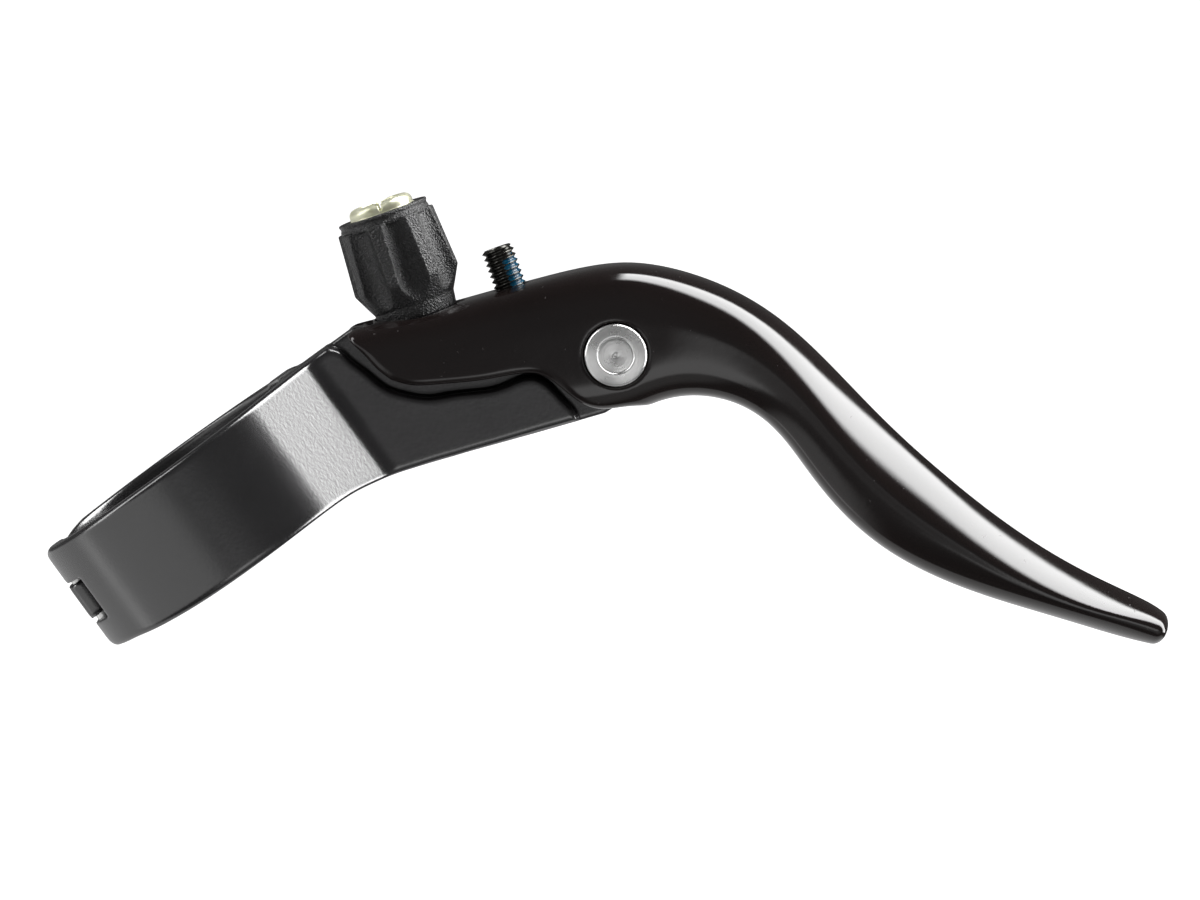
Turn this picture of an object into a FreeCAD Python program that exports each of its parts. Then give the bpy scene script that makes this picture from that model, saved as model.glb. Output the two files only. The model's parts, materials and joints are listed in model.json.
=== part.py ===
import FreeCAD, Part
import os
from math import sin, cos, tan, pi, radians, sqrt, atan2

V = FreeCAD.Vector
os.makedirs("parts", exist_ok=True)

# ---------------------------------------------------------------------------
# Cross-top (auxiliary) brake lever with a hinged handlebar clamp.
# Frame: origin at the centre of the bar bore, +X along the handlebar towards
# the blade tip, +Y forward from the bar to the lever, +Z along the lever pivot.
# All sizes in millimetres.
# ---------------------------------------------------------------------------

# bar clamp
BAR_R = 15.95            # bore of the closed clamp, for a 31.8 bar
RING_R = 19.0            # outside radius of the clamp ring
RING_HW = 7.6            # half width of the ring along the bar
SPLIT = 0.5              # half gap between bracket and cap at the hinge side
HINGE_Y, HINGE_Z = -17.5, 0.0
PIN_R = 0.9              # hinge pin
KNUCKLE_R = 1.5
KNUCKLE_HL = 2.4         # half length of the cap's centre knuckle
NOTCH_HL = 2.9           # half length of the notch in the bracket
NOTCH_Y = -16.6          # floor of the notch
SLOPE = 40.0             # fall of the straight flank between ring and body, degrees
BLEND_R = 5.0            # concave blend from flank to body
BODY_HT = 7.26           # half thickness of the bracket body

# clamp bolt (M5 x 14)
BOLT_X, BOLT_Y = 0.0, 22.2
BOLT_R = 2.5
BOLT_HEAD_R, BOLT_HEAD_H, BOLT_HEX = 4.25, 5.0, 4.0
BOLT_LEN = 14.0
BOLT_HOLE_R = 2.54       # tapped hole at its crest
LUG_TOP, LUG_BOTTOM = -1.0, -7.0
LUG_HOLE_R, LUG_SLOT = 2.9, 0.6
LUG_HW, LUG_FRONT = 6.6, 27.0
WASHER_R, WASHER_T = 4.6, 0.8

# lever pivot
PX, PY = 13.34, 50.84
TONGUE_HT = 3.8          # half thickness of the bracket tongue
EYE_R = 5.4
CHANNEL_HW = 4.7         # half width of the slot in the lever
HUB_CLEAR_R = 6.2        # slot radius round the pivot eye
CHEEK = 8.3              # half thickness of the lever at its arm
SHAFT_R = 2.5
HEAD_R, HEAD_T = 3.75, 1.1
HEAD_SINK = 0.5          # depth of the head's seat in the cheek
BUSH_R = 3.25
THRUST_R, THRUST_T = 4.7, 0.75
RET_R, RET_T = 3.4, 0.6  # retaining washer
RSCREW_R, RSCREW_HEAD_R, RSCREW_HEAD_H = 1.5, 2.75, 1.65

# cable axis, shared by the adjuster and the housing stop
AX = V(-0.9584, 0.2854, 0.0)
AX.normalize()           # outward, away from the bracket
SIDE = V(0.2854, 0.9584, 0.0)
SIDE.normalize()         # across the cable axis, in the lever's plane
SEAT = V(-3.25, 34.05, 0.0)   # adjuster seat on the lever arm
KNOB_GAP = 0.65
BARREL_R = 2.95          # M6 thread
BARREL_HOLE_R = 3.0
BARREL_DEPTH = 4.6
BARREL_HEAD_R = 4.1
BARREL_TOP = 15.35
HOUSING_R = 2.55         # socket for 5 mm cable housing
HOUSING_FLOOR = 5.0
CABLE_R = 1.0
KNOB_H1, KNOB_R1 = 5.25, 6.6     # widest station
KNOB_H2, KNOB_R2 = 12.75, 6.05
KNOB_H3, KNOB_R3 = 14.05, 5.35   # rim
KNOB_R0 = 4.7
KNOB_FLUTES = 8
ORING_MAJOR, ORING_MINOR = 3.56, 0.55

# housing stop in the bracket
STOP_DEPTH = 7.0
STOP_R = 3.3

# reach adjusting screw (M4 x 14)
RX_EXIT = V(-0.1, 45.1, 0.0)
REACH_OUT = 5.25
REACH_LEN = 14.0
REACH_R = 1.95
REACH_HOLE_R = 2.0
REACH_HEX = 2.0
ANVIL = REACH_LEN - REACH_OUT + 0.05   # distance from the exit point to the rest face
PATCH_T = 0.12


def out(shape, name):
    shape.exportStep("parts/%s.step" % name)
    b = shape.BoundBox
    print("%-24s solids %d valid %s vol %8.2f  x %.2f..%.2f y %.2f..%.2f z %.2f..%.2f" % (
        name, len(shape.Solids), shape.isValid(), shape.Volume,
        b.XMin, b.XMax, b.YMin, b.YMax, b.ZMin, b.ZMax))


def cyl(r, p, d, h):
    return Part.makeCylinder(r, h, p, d)


def box(x0, x1, y0, y1, z0, z1):
    return Part.makeBox(x1 - x0, y1 - y0, z1 - z0, V(x0, y0, z0))


def line(p, q):
    return Part.LineSegment(p, q).toShape()


def spline(pts, t0=None, t1=None):
    c = Part.BSplineCurve()
    if t0 is not None:
        c.interpolate(pts, InitialTangent=t0, FinalTangent=t1)
    else:
        c.interpolate(pts)
    return c.toShape()


def prism(edges, z0, z1):
    w = Part.Wire(Part.__sortEdges__(edges))
    f = Part.Face(w)
    f.translate(V(0, 0, z0 - f.BoundBox.ZMin))
    return f.extrude(V(0, 0, z1 - z0))


def poly_prism(pts, z0, z1):
    w = Part.makePolygon([V(x, y, z0) for x, y in pts] + [V(pts[0][0], pts[0][1], z0)])
    return Part.Face(w).extrude(V(0, 0, z1 - z0))


def hexagon(flats, p, d, depth, u):
    """Hexagonal prism from p along d; u is a direction across d."""
    d = V(d)
    d.normalize()
    u = V(u)
    u.normalize()
    w = d.cross(u)
    r = flats / sqrt(3.0)
    pts = []
    for i in range(7):
        a = radians(60 * i)
        pts.append(p + u * (r * cos(a)) + w * (r * sin(a)))
    return Part.Face(Part.makePolygon(pts)).extrude(d * depth)


def revolve_about(profile, p, d, u):
    """Solid of revolution; profile is a list of (radius, height) along d from p."""
    d = V(d)
    d.normalize()
    u = V(u)
    u.normalize()
    pts = [p + u * r + d * h for r, h in profile]
    pts.append(pts[0])
    return Part.Face(Part.makePolygon(pts)).revolve(p, d, 360)


def p2(pts, z=0.0):
    return [V(x, y, z) for x, y in pts]


# ---------------------------------------------------------------------------
# bracket
# ---------------------------------------------------------------------------
bore = cyl(BAR_R, V(-30, 0, 0), V(1, 0, 0), 60)

# side profile of the near half: ring, straight flank, concave blend, flat body
sl = radians(SLOPE)
ty, tz = RING_R * sin(sl), RING_R * cos(sl)     # where the flank leaves the ring
ky = ty + (tz - BODY_HT) / tan(sl)              # flank meets the body's level
bt = BLEND_R * tan(sl / 2)


def side_pt(y, z):
    return V(-40, y, z)


am = 0.5 * (pi + atan2(tz, ty))
mid_ring = side_pt(RING_R * cos(am), RING_R * sin(am))
b0 = side_pt(ky - bt * cos(sl), BODY_HT + bt * sin(sl))
b1 = side_pt(ky + bt, BODY_HT)
bc = side_pt(ky + bt, BODY_HT + BLEND_R)
mid_blend = bc + side_pt(-BLEND_R * sin(sl / 2), -BLEND_R * cos(sl / 2)) - side_pt(0, 0)
Z0 = 0.0
profile = Part.Wire([
    Part.Arc(side_pt(-RING_R, Z0), mid_ring, side_pt(ty, tz)).toShape(),
    line(side_pt(ty, tz), b0),
    Part.Arc(b0, mid_blend, b1).toShape(),
    line(b1, side_pt(60, BODY_HT)),
    line(side_pt(60, BODY_HT), side_pt(60, Z0)),
    line(side_pt(60, Z0), side_pt(-RING_R, Z0)),
])
near_profile = Part.Face(profile).extrude(V(80, 0, 0))

# plan of the near and far walls: ring width, then the flared body up to the step
right_edge = p2([(RING_HW, 11.5), (7.85, 14.6), (9.0, 18.8), (10.5, 23.7),
                 (12.2, 28.6), (14.0, 33.4), (15.8, 38.2), (17.2, 42.2)])
step_edge = p2([(17.2, 42.2), (16.4, 42.75), (14.4, 42.6), (11.6, 42.2), (9.9, 41.4), (8.4, 37.4),
                (5.9, 32.6), (4.3, 29.6), (2.8, 28.0), (0.3, 26.2), (-2.6, 25.4), (-5.0, 24.7), (-6.6, 24.3), (-RING_HW, 23.3)])
wall_plan = [
    line(V(-RING_HW, -25, 0), V(RING_HW, -25, 0)),
    line(V(RING_HW, -25, 0), V(RING_HW, 11.5, 0)),
    spline(right_edge, V(0, 1, 0), V(0.35, 0.94, 0)),
    spline(step_edge),
    line(V(-RING_HW, 23.3, 0), V(-RING_HW, -25, 0)),
]
wall = prism(wall_plan, -BODY_HT, 40)

near = wall.common(near_profile)

# far wall: the same plan forward of the cap's lug
far = wall.common(box(-20, 40, LUG_FRONT + 1.0, 60, -BODY_HT, 0.01))

# tongue carrying the pivot
anvil_c = RX_EXIT - AX * ANVIL
a_lo = anvil_c - SIDE * 2.6
a_hi = anvil_c + SIDE * 2.3
tongue_pts = [
    V(-RING_HW, 17.0, 0), V(-RING_HW, 27.2, 0), V(-6.9, 28.4, 0), V(-5.9, 28.75, 0), V(0.2, 28.9, 0),
    V(1.08, 29.5, 0), V(3.8, 38.7, 0), V(4.1, 39.6, 0), a_lo, a_hi,
    V(PX - EYE_R, PY - 1.6, 0),
]
ang = [pi - i * (pi) / 10 for i in range(0, 11)]
eye = [V(PX + EYE_R * cos(a), PY + EYE_R * sin(a), 0) for a in ang]
tongue_pts += eye
tongue_pts += [V(PX + EYE_R - 0.15, 48.0, 0), V(18.45, 45.6, 0), V(17.3, 42.4, 0),
               V(15.4, 37.2, 0), V(13.2, 31.4, 0), V(10.8, 24.8, 0), V(8.0, 17.0, 0)]
tf = Part.Face(Part.makePolygon(tongue_pts + [tongue_pts[0]]))
tongue = tf.extrude(V(0, 0, 2 * TONGUE_HT))
tongue.translate(V(0, 0, -TONGUE_HT))
tongue = tongue.cut(box(-40, 40, -40, LUG_FRONT + 1.0, -20, 0))     # room for the lug

bracket = near.fuse([far, tongue])
# knuckles at the back
for x0, x1 in ((-RING_HW, -NOTCH_HL), (NOTCH_HL, RING_HW)):
    bracket = bracket.fuse(cyl(KNUCKLE_R, V(x0, HINGE_Y, HINGE_Z), V(1, 0, 0), x1 - x0))
bracket = bracket.cut(box(-20, 20, -19.3, -15.0, -3, SPLIT).cut(
    cyl(KNUCKLE_R, V(-20, HINGE_Y, HINGE_Z), V(1, 0, 0), 40)))
# notch with the cap's knuckle in it
bracket = bracket.cut(box(-NOTCH_HL, NOTCH_HL, -30, NOTCH_Y, -5, 14))
bracket = bracket.cut(cyl(KNUCKLE_R + 0.35, V(-NOTCH_HL, HINGE_Y, HINGE_Z), V(1, 0, 0), 2 * NOTCH_HL))
bracket = bracket.cut(bore)
bracket = bracket.cut(cyl(PIN_R, V(-20, HINGE_Y, HINGE_Z), V(1, 0, 0), 40))
# parting face of the clamp at the front
bracket = bracket.cut(box(-20, 20, 14.0, LUG_FRONT + 0.5, -1, 0.0))
# tapped hole for the clamp bolt
bracket = bracket.cut(cyl(BOLT_HOLE_R, V(BOLT_X, BOLT_Y, -1), V(0, 0, 1), 7.35))
# pivot bore, cable way and housing stop
bracket = bracket.cut(cyl(BUSH_R, V(PX, PY, -10), V(0, 0, 1), 20))
STOP_MOUTH = 15.35       # distance from the seat to the stop's mouth
stop_floor = SEAT - AX * (STOP_MOUTH - STOP_DEPTH)
bracket = bracket.cut(cyl(CABLE_R, SEAT - AX * 3, AX * -1, 20))
bracket = bracket.cut(cyl(STOP_R, stop_floor, AX * -1, 20))
bracket = bracket.removeSplitter()
if bracket.ShapeType == "Compound":
    bracket = max(bracket.Solids, key=lambda s: s.Volume)

# soften the outside edges of the walls, one edge after another
def soften(shape, want, r):
    done = 0
    for pt in want:
        best, bd = None, 0.6
        for e in shape.Edges:
            m = e.valueAt(0.5 * (e.FirstParameter + e.LastParameter))
            d = m.distanceToPoint(pt)
            if d < bd:
                best, bd = e, d
        if best is None:
            continue
        try:
            t = shape.makeFillet(r, [best])
        except Exception:
            continue
        if t.isValid() and len(t.Solids) == 1 and abs(t.Volume - shape.Volume) < 60:
            shape = t.Solids[0]
            done += 1
    print("edges softened:", done, "of", len(want))
    return shape


want = []
for e in bracket.Edges:
    m = e.valueAt(0.5 * (e.FirstParameter + e.LastParameter))
    r = sqrt(m.y ** 2 + m.z ** 2)
    on_ring_side = abs(abs(m.x) - RING_HW) < 0.02 and r > RING_R - 0.3 and m.z > 1 and e.Length > 4
    on_wall = abs(abs(m.z) - BODY_HT) < 0.02 and m.y > 22 and e.Length > 3
    if on_ring_side or on_wall:
        want.append(m)
bracket = soften(bracket, want, 0.8)

# rear corners rounded in plan, and the slight taper of one side
corner_l = prism([
    line(V(-9, -21, 0), V(-9, -17.7, 0)), line(V(-9, -17.7, 0), V(-7.6, -17.7, 0)),
    Part.Arc(V(-7.6, -17.7, 0), V(-7.219, -18.619, 0), V(-6.3, -19.0, 0)).toShape(),
    line(V(-6.3, -19.0, 0), V(-6.3, -21, 0)), line(V(-6.3, -21, 0), V(-9, -21, 0))], -25, 25)
corner_r = prism([
    line(V(9, -21, 0), V(9, -7.4, 0)), line(V(9, -7.4, 0), V(7.6, -7.4, 0)),
    line(V(7.6, -7.4, 0), V(7.4, -10.4, 0)), line(V(7.4, -10.4, 0), V(6.8, -15.4, 0)),
    line(V(6.8, -15.4, 0), V(6.62, -17.6, 0)),
    Part.Arc(V(6.62, -17.6, 0), V(6.21, -18.59, 0), V(5.22, -19.0, 0)).toShape(),
    line(V(5.22, -19.0, 0), V(5.22, -21, 0)), line(V(5.22, -21, 0), V(9, -21, 0))], -25, 25)
bracket = bracket.cut([corner_l, corner_r])
if bracket.ShapeType == "Compound":
    bracket = max(bracket.Solids, key=lambda s: s.Volume)
out(bracket, "bracket")

# ---------------------------------------------------------------------------
# clamp cap: hinged half of the ring with its bolt lug
# ---------------------------------------------------------------------------
cap = cyl(RING_R, V(-RING_HW, 0, 0), V(1, 0, 0), 2 * RING_HW)
cap = cap.common(box(-20, 20, -40, 40, -40, -SPLIT))
lug = [
    line(V(-RING_HW, 8, 0), V(RING_HW, 8, 0)),
    line(V(RING_HW, 8, 0), V(RING_HW, 17.5, 0)),
    Part.Arc(V(RING_HW, 17.5, 0), V(6.55, 23.0, 0), V(2.6, LUG_FRONT, 0)).toShape(),
    line(V(2.6, LUG_FRONT, 0), V(-2.6, LUG_FRONT - 0.9, 0)),
    Part.Arc(V(-2.6, LUG_FRONT - 0.9, 0), V(-6.35, 22.6, 0), V(-RING_HW, 17.5, 0)).toShape(),
    line(V(-RING_HW, 17.5, 0), V(-RING_HW, 8, 0)),
]
lug = prism(lug, LUG_BOTTOM, LUG_TOP)
# web under the lug, blending into the ring
web = poly_prism([(-2.2, 8), (2.2, 8), (2.2, 17.0), (-2.2, 17.0)], -12.0, LUG_BOTTOM + 0.1)
cap = cap.fuse([lug, web])
cap = cap.cut(box(-20, 20, 12, 40, LUG_TOP, 5))
cap = cap.cut(cyl(KNUCKLE_R + 0.35, V(-20, HINGE_Y, HINGE_Z), V(1, 0, 0), 40))
kn = cyl(KNUCKLE_R, V(-KNUCKLE_HL, HINGE_Y, HINGE_Z), V(1, 0, 0), 2 * KNUCKLE_HL)
arm = box(-KNUCKLE_HL, KNUCKLE_HL, -19.3, -15.6, -3.2, 0.0).common(
    cyl(RING_R, V(-20, 0, 0), V(1, 0, 0), 40))
cap = cap.fuse([kn, arm])
# clear slots beside the knuckle
cap = cap.cut([box(-NOTCH_HL, -KNUCKLE_HL, -30, NOTCH_Y, -9.2, 2), box(KNUCKLE_HL, NOTCH_HL, -30, NOTCH_Y, -9.2, 2)])
cap = cap.cut([corner_l, corner_r])
cap = cap.cut(bore)
cap = cap.cut(cyl(PIN_R + 0.04, V(-20, HINGE_Y, HINGE_Z), V(1, 0, 0), 40))
slot = cyl(LUG_HOLE_R, V(BOLT_X, BOLT_Y, -20), V(0, 0, 1), 25).fuse([
    cyl(LUG_HOLE_R, V(BOLT_X, BOLT_Y + LUG_SLOT, -20), V(0, 0, 1), 25),
    box(BOLT_X - LUG_HOLE_R, BOLT_X + LUG_HOLE_R, BOLT_Y, BOLT_Y + LUG_SLOT, -20, 5)])
cap = cap.cut(slot)
# flat for the bolt washer
cap = cap.cut(cyl(WASHER_R + 0.5, V(BOLT_X, BOLT_Y, -20), V(0, 0, 1), 20 + LUG_BOTTOM))
cap = cap.removeSplitter()
if cap.ShapeType == "Compound":
    cap = max(cap.Solids, key=lambda s: s.Volume)
out(cap, "clamp_cap")

hinge_pin = cyl(PIN_R, V(-7.0, HINGE_Y, HINGE_Z), V(1, 0, 0), 13.0)
out(hinge_pin, "clamp_hinge_pin")

# clamp bolt and washer, entering from below
WT = LUG_BOTTOM - 0.1
washer = cyl(WASHER_R, V(BOLT_X, BOLT_Y, WT - WASHER_T), V(0, 0, 1), WASHER_T)
washer = washer.cut(cyl(BOLT_R + 0.1, V(BOLT_X, BOLT_Y, WT - 2), V(0, 0, 1), 4))
out(washer, "clamp_bolt_washer")
HB = WT - WASHER_T - 0.02
bolt = cyl(BOLT_R, V(BOLT_X, BOLT_Y, HB), V(0, 0, 1), BOLT_LEN)
tipc = [e for e in bolt.Edges if abs(e.BoundBox.ZMin - (HB + BOLT_LEN)) < 0.01 and e.Length > 10]
bolt = bolt.makeChamfer(0.5, tipc)
head = cyl(BOLT_HEAD_R, V(BOLT_X, BOLT_Y, HB - BOLT_HEAD_H), V(0, 0, 1), BOLT_HEAD_H)
hc = [e for e in head.Edges if abs(e.BoundBox.ZMin - (HB - BOLT_HEAD_H)) < 0.01 and abs(e.BoundBox.ZMax - (HB - BOLT_HEAD_H)) < 0.01]
head = head.makeFillet(0.6, hc)
bolt = bolt.fuse(head).cut(hexagon(BOLT_HEX, V(BOLT_X, BOLT_Y, HB - BOLT_HEAD_H - 1), V(0, 0, 1), 3.8, V(1, 0, 0)))
bolt = bolt.removeSplitter()
out(bolt, "clamp_bolt")

# sleeve that the cable housing seats in
insert = cyl(STOP_R, stop_floor, AX * -1, STOP_DEPTH).cut(
    cyl(HOUSING_R, stop_floor - AX * 0.8, AX * -1, 20)).cut(cyl(CABLE_R, stop_floor + AX * 1, AX * -1, 5))
out(insert, "housing_stop_sleeve")

# ---------------------------------------------------------------------------
# lever
# ---------------------------------------------------------------------------
# outline that trims the nose and the lower edge of the arm, seen along the pivot
nose_edge = p2([(-8.6, 30.6), (-7.95, 28.7), (-7.8, 27.0), (-7.3, 26.15), (-6.3, 26.1), (-4.4, 26.5), (-2.2, 26.75), (0.0, 27.4)])
low_edge = p2([(0.0, 27.4), (1.75, 28.8), (3.4, 31.1), (5.1, 33.9), (6.75, 36.9), (8.55, 40.5), (9.9, 42.15),
               (11.6, 42.95), (13.9, 43.55), (16.05, 44.3), (17.45, 45.35), (18.85, 47.5), (20.1, 49.3), (22.5, 51.0)])
trim = prism([
    spline(nose_edge), spline(low_edge),
    line(V(22.5, 51.0, 0), V(60, 52, 0)), line(V(60, 52, 0), V(95, 80, 0)), line(V(95, 80, 0), V(95, 100, 0)),
    line(V(95, 100, 0), V(-20, 100, 0)), line(V(-20, 100, 0), V(-20, 38, 0)), line(V(-20, 38, 0), V(-8.6, 30.6, 0)),
], -15, 15)

# stations: outer point, inner point, half thickness along Z, exponent
stations = [
    ((-8.5, 24.6), (6.5, 20.1), 8.1, 5.0),
    ((-6.55, 30.0), (8.6, 26.3), 8.15, 5.0),
    ((-4.25, 34.4), (11.0, 31.2), 8.2, 5.0),
    ((-2.45, 39.14), (13.6, 36.4), 8.3, 5.0),
    ((-0.72, 43.8), (16.2, 41.2), 8.3, 4.8),
    ((1.14, 48.47), (18.9, 45.6), 8.3, 4.4),
    ((3.2, 53.6), (20.4, 49.3), 8.3, 4.0),
    ((5.6, 57.95), (21.0, 51.87), 8.2, 3.6),
    ((8.38, 61.05), (22.06, 54.06), 8.0, 3.2),
    ((12.21, 64.21), (23.75, 56.4), 7.7, 2.9),
    ((16.67, 66.92), (26.1, 58.5), 7.3, 2.7),
    ((21.92, 69.04), (29.2, 60.2), 6.95, 2.5),
    ((28.23, 70.39), (33.3, 61.15), 6.7, 2.4),
    ((35.14, 71.31), (38.9, 61.1), 6.55, 2.35),
    ((41.83, 72.39), (45.3, 61.5), 6.45, 2.3),
    ((48.06, 73.81), (52.0, 63.2), 6.35, 2.3),
    ((54.06, 75.38), (58.6, 66.5), 6.2, 2.3),
    ((59.73, 77.21), (64.1, 70.15), 6.0, 2.3),
    ((65.01, 79.31), (68.95, 73.8), 5.8, 2.3),
    ((69.89, 81.71), (73.25, 77.0), 5.5, 2.3),
    ((74.51, 84.29), (77.3, 80.08), 5.0, 2.3),
    ((77.1, 85.6), (79.2, 81.6), 4.4, 2.3),
    ((78.9, 85.3), (80.2, 83.1), 3.0, 2.2),
]


def section(T, B, h, n, count=32):
    c = V((T[0] + B[0]) / 2, (T[1] + B[1]) / 2, 0)
    d = V(T[0] - c.x, T[1] - c.y, 0)
    pts = []
    for i in range(count):
        a = 2 * pi * i / count
        ca, sa = cos(a), sin(a)
        u = abs(ca) ** (2.0 / n) * (1 if ca >= 0 else -1)
        w = abs(sa) ** (2.0 / n) * (1 if sa >= 0 else -1)
        pts.append(V(c.x + d.x * u, c.y + d.y * u, h * w))
    b = Part.BSplineCurve()
    b.interpolate(pts, PeriodicFlag=True)
    return Part.Wire([b.toShape()])


blade = Part.makeLoft([section(*st) for st in stations], True, False)
if blade.Volume < 0:
    blade.reverse()
print("blade loft valid", blade.isValid(), blade.Volume)
lever = blade.common(trim)
print("lever trimmed valid", lever.isValid(), lever.Volume)

# slot for the bracket tongue
floor_a = SEAT - AX * 4.9
f0 = floor_a - SIDE * 3.2
chan = [
    V(-14, 29.35, 0), V(f0.x - 0.5, 29.35, 0), V(f0.x + 0.15, 29.9, 0), floor_a + SIDE * 9.0, V(PX - HUB_CLEAR_R - 0.4, PY - 3.5, 0)]
chan += [V(PX + HUB_CLEAR_R * cos(a), PY + HUB_CLEAR_R * sin(a), 0) for a in [pi - i * pi / 16 for i in range(0, 17)]]
chan += [V(PX + HUB_CLEAR_R, 30, 0), V(20, 10, 0), V(-14, 10, 0)]
chan = Part.Face(Part.makePolygon(chan + [chan[0]])).extrude(V(0, 0, 2 * CHANNEL_HW))
chan.translate(V(0, 0, -CHANNEL_HW))
lever = lever.cut(chan)

# seat and thread for the adjuster, thread for the reach screw
lever = lever.cut(cyl(5.7, SEAT, AX, 12))
lever = lever.cut(cyl(BARREL_HOLE_R, SEAT - AX * 8, AX, 16))
lever = lever.cut(cyl(REACH_HOLE_R, RX_EXIT - AX * 8.6, AX, 20))
# pivot hole with the pin's head seat and the retaining washer's seat
lever = lever.cut(cyl(SHAFT_R, V(PX, PY, -20), V(0, 0, 1), 40))
lever = lever.cut(cyl(HEAD_R + 0.1, V(PX, PY, CHEEK - HEAD_SINK), V(0, 0, 1), 5))
lever = lever.cut(cyl(RET_R + 0.3, V(PX, PY, -CHEEK - 5), V(0, 0, 1), 5 + 0.5))
lever = lever.removeSplitter()
if lever.ShapeType == "Compound":
    lever = max(lever.Solids, key=lambda s: s.Volume)
out(lever, "lever_blade")

# pivot pin: head on the upper cheek, tapped at its lower end
pin_top = CHEEK - HEAD_SINK
pin_len = pin_top + CHEEK - 0.55
pin = cyl(SHAFT_R, V(PX, PY, pin_top - pin_len), V(0, 0, 1), pin_len)
head = revolve_about([(0, 0), (HEAD_R, 0), (HEAD_R, HEAD_T - 0.35), (HEAD_R - 0.35, HEAD_T), (2.1, HEAD_T),
                      (1.9, HEAD_T - 0.15), (0.3, HEAD_T - 0.15), (0.0, HEAD_T - 0.4)],
                     V(PX, PY, pin_top), V(0, 0, 1), V(1, 0, 0))
pin = pin.fuse(head)
pin = pin.cut(cyl(RSCREW_R, V(PX, PY, -CHEEK - 1), V(0, 0, 1), 7.5))
pin = pin.removeSplitter()
out(pin, "pivot_pin")

ret_z = -CHEEK + 0.5
ret = cyl(RET_R, V(PX, PY, ret_z - RET_T), V(0, 0, 1), RET_T).cut(
    cyl(RSCREW_R + 0.1, V(PX, PY, ret_z - 3), V(0, 0, 1), 6))
out(ret, "pivot_retaining_washer")
rs = cyl(RSCREW_R, V(PX, PY, ret_z - RET_T), V(0, 0, 1), 6.0)
rh = revolve_about([(0, 0), (RSCREW_HEAD_R, 0), (RSCREW_HEAD_R - 0.1, 0.5), (RSCREW_HEAD_R - 0.7, 1.2),
                    (1.6, RSCREW_HEAD_H), (0, RSCREW_HEAD_H)], V(PX, PY, ret_z - RET_T), V(0, 0, -1), V(1, 0, 0))
rs = rs.fuse(rh).cut(hexagon(2.0, V(PX, PY, ret_z - RET_T - RSCREW_HEAD_H - 0.5), V(0, 0, 1), 1.6, V(1, 0, 0)))
rs = rs.removeSplitter()
out(rs, "pivot_retaining_screw")

bush = cyl(BUSH_R, V(PX, PY, -TONGUE_HT), V(0, 0, 1), 2 * TONGUE_HT).cut(
    cyl(SHAFT_R + 0.04, V(PX, PY, -10), V(0, 0, 1), 20))
out(bush, "pivot_bush")
for nm, z0 in (("thrust_washer_upper", TONGUE_HT), ("thrust_washer_lower", -TONGUE_HT - THRUST_T)):
    tw = cyl(THRUST_R, V(PX, PY, z0), V(0, 0, 1), THRUST_T).cut(
        cyl(SHAFT_R + 0.1, V(PX, PY, -10), V(0, 0, 1), 20))
    out(tw, nm)

# ---------------------------------------------------------------------------
# barrel adjuster
# ---------------------------------------------------------------------------
barrel = revolve_about([
    (CABLE_R, -BARREL_DEPTH), (BARREL_R - 0.4, -BARREL_DEPTH), (BARREL_R, -BARREL_DEPTH + 0.4), (BARREL_R, 2.6),
    (BARREL_HEAD_R, 2.6), (BARREL_HEAD_R, BARREL_TOP - 0.35), (BARREL_HEAD_R - 0.35, BARREL_TOP),
    (HOUSING_R, BARREL_TOP), (HOUSING_R, HOUSING_FLOOR), (CABLE_R, HOUSING_FLOOR)], SEAT, AX, SIDE)
lobe_cuts = []
for i in range(6):
    a = radians(60 * i + 30)
    p = SEAT + AX * (KNOB_H3 + 0.1) + SIDE * (4.95 * cos(a)) + V(0, 0, 4.95 * sin(a))
    lobe_cuts.append(cyl(1.15, p, AX, 3))
barrel = barrel.cut(lobe_cuts[0].fuse(lobe_cuts[1:]))
sz = V(0, 0, 1)
sp = [SEAT + AX * (BARREL_TOP - 3.0) + sz * u + SIDE * v for u, v in ((0, -0.2), (6, -0.2), (6, 0.2), (0, 0.2))]
sl = Part.Face(Part.makePolygon(sp + [sp[0]])).extrude(AX * 5)
barrel = barrel.cut(sl)
barrel = barrel.removeSplitter()
out(barrel, "adjuster_barrel")

knob = revolve_about([
    (4.15, KNOB_GAP), (KNOB_R0, KNOB_GAP), (KNOB_R1, KNOB_H1), (KNOB_R2, KNOB_H2), (KNOB_R3 + 0.25, KNOB_H2 + 0.2),
    (KNOB_R3, KNOB_H3 - 0.2), (KNOB_R3 - 0.2, KNOB_H3), (BARREL_HEAD_R + 0.03, KNOB_H3), (BARREL_HEAD_R + 0.03, 2.58),
    (BARREL_R + 0.02, 2.58), (BARREL_R + 0.02, 1.6), (4.15, 1.6)], SEAT, AX, SIDE)
cuts = []
for i in range(KNOB_FLUTES):
    a = radians(360.0 / KNOB_FLUTES * i)
    d = SIDE * cos(a) + V(0, 0, sin(a))
    p = SEAT + AX * 4.2 + d * 7.75
    cuts.append(cyl(1.7, p, AX, 12))
knob = knob.cut(cuts[0].fuse(cuts[1:]))
knob = knob.removeSplitter()
out(knob, "adjuster_knob")

oring = Part.makeTorus(ORING_MAJOR, ORING_MINOR, SEAT + AX * (ORING_MINOR + 0.06), AX)
out(oring, "adjuster_oring")

# ---------------------------------------------------------------------------
# reach adjusting screw with its thread-lock patch
# ---------------------------------------------------------------------------
top = RX_EXIT + AX * REACH_OUT
screw = revolve_about([(0, 0), (1.3, 0), (REACH_R, 0.65), (REACH_R, REACH_LEN - 0.35), (REACH_R - 0.35, REACH_LEN),
                       (0, REACH_LEN)], top - AX * REACH_LEN, AX, SIDE)
screw = screw.cut(hexagon(REACH_HEX, top - AX * 2.2, AX, 4, SIDE))
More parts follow.
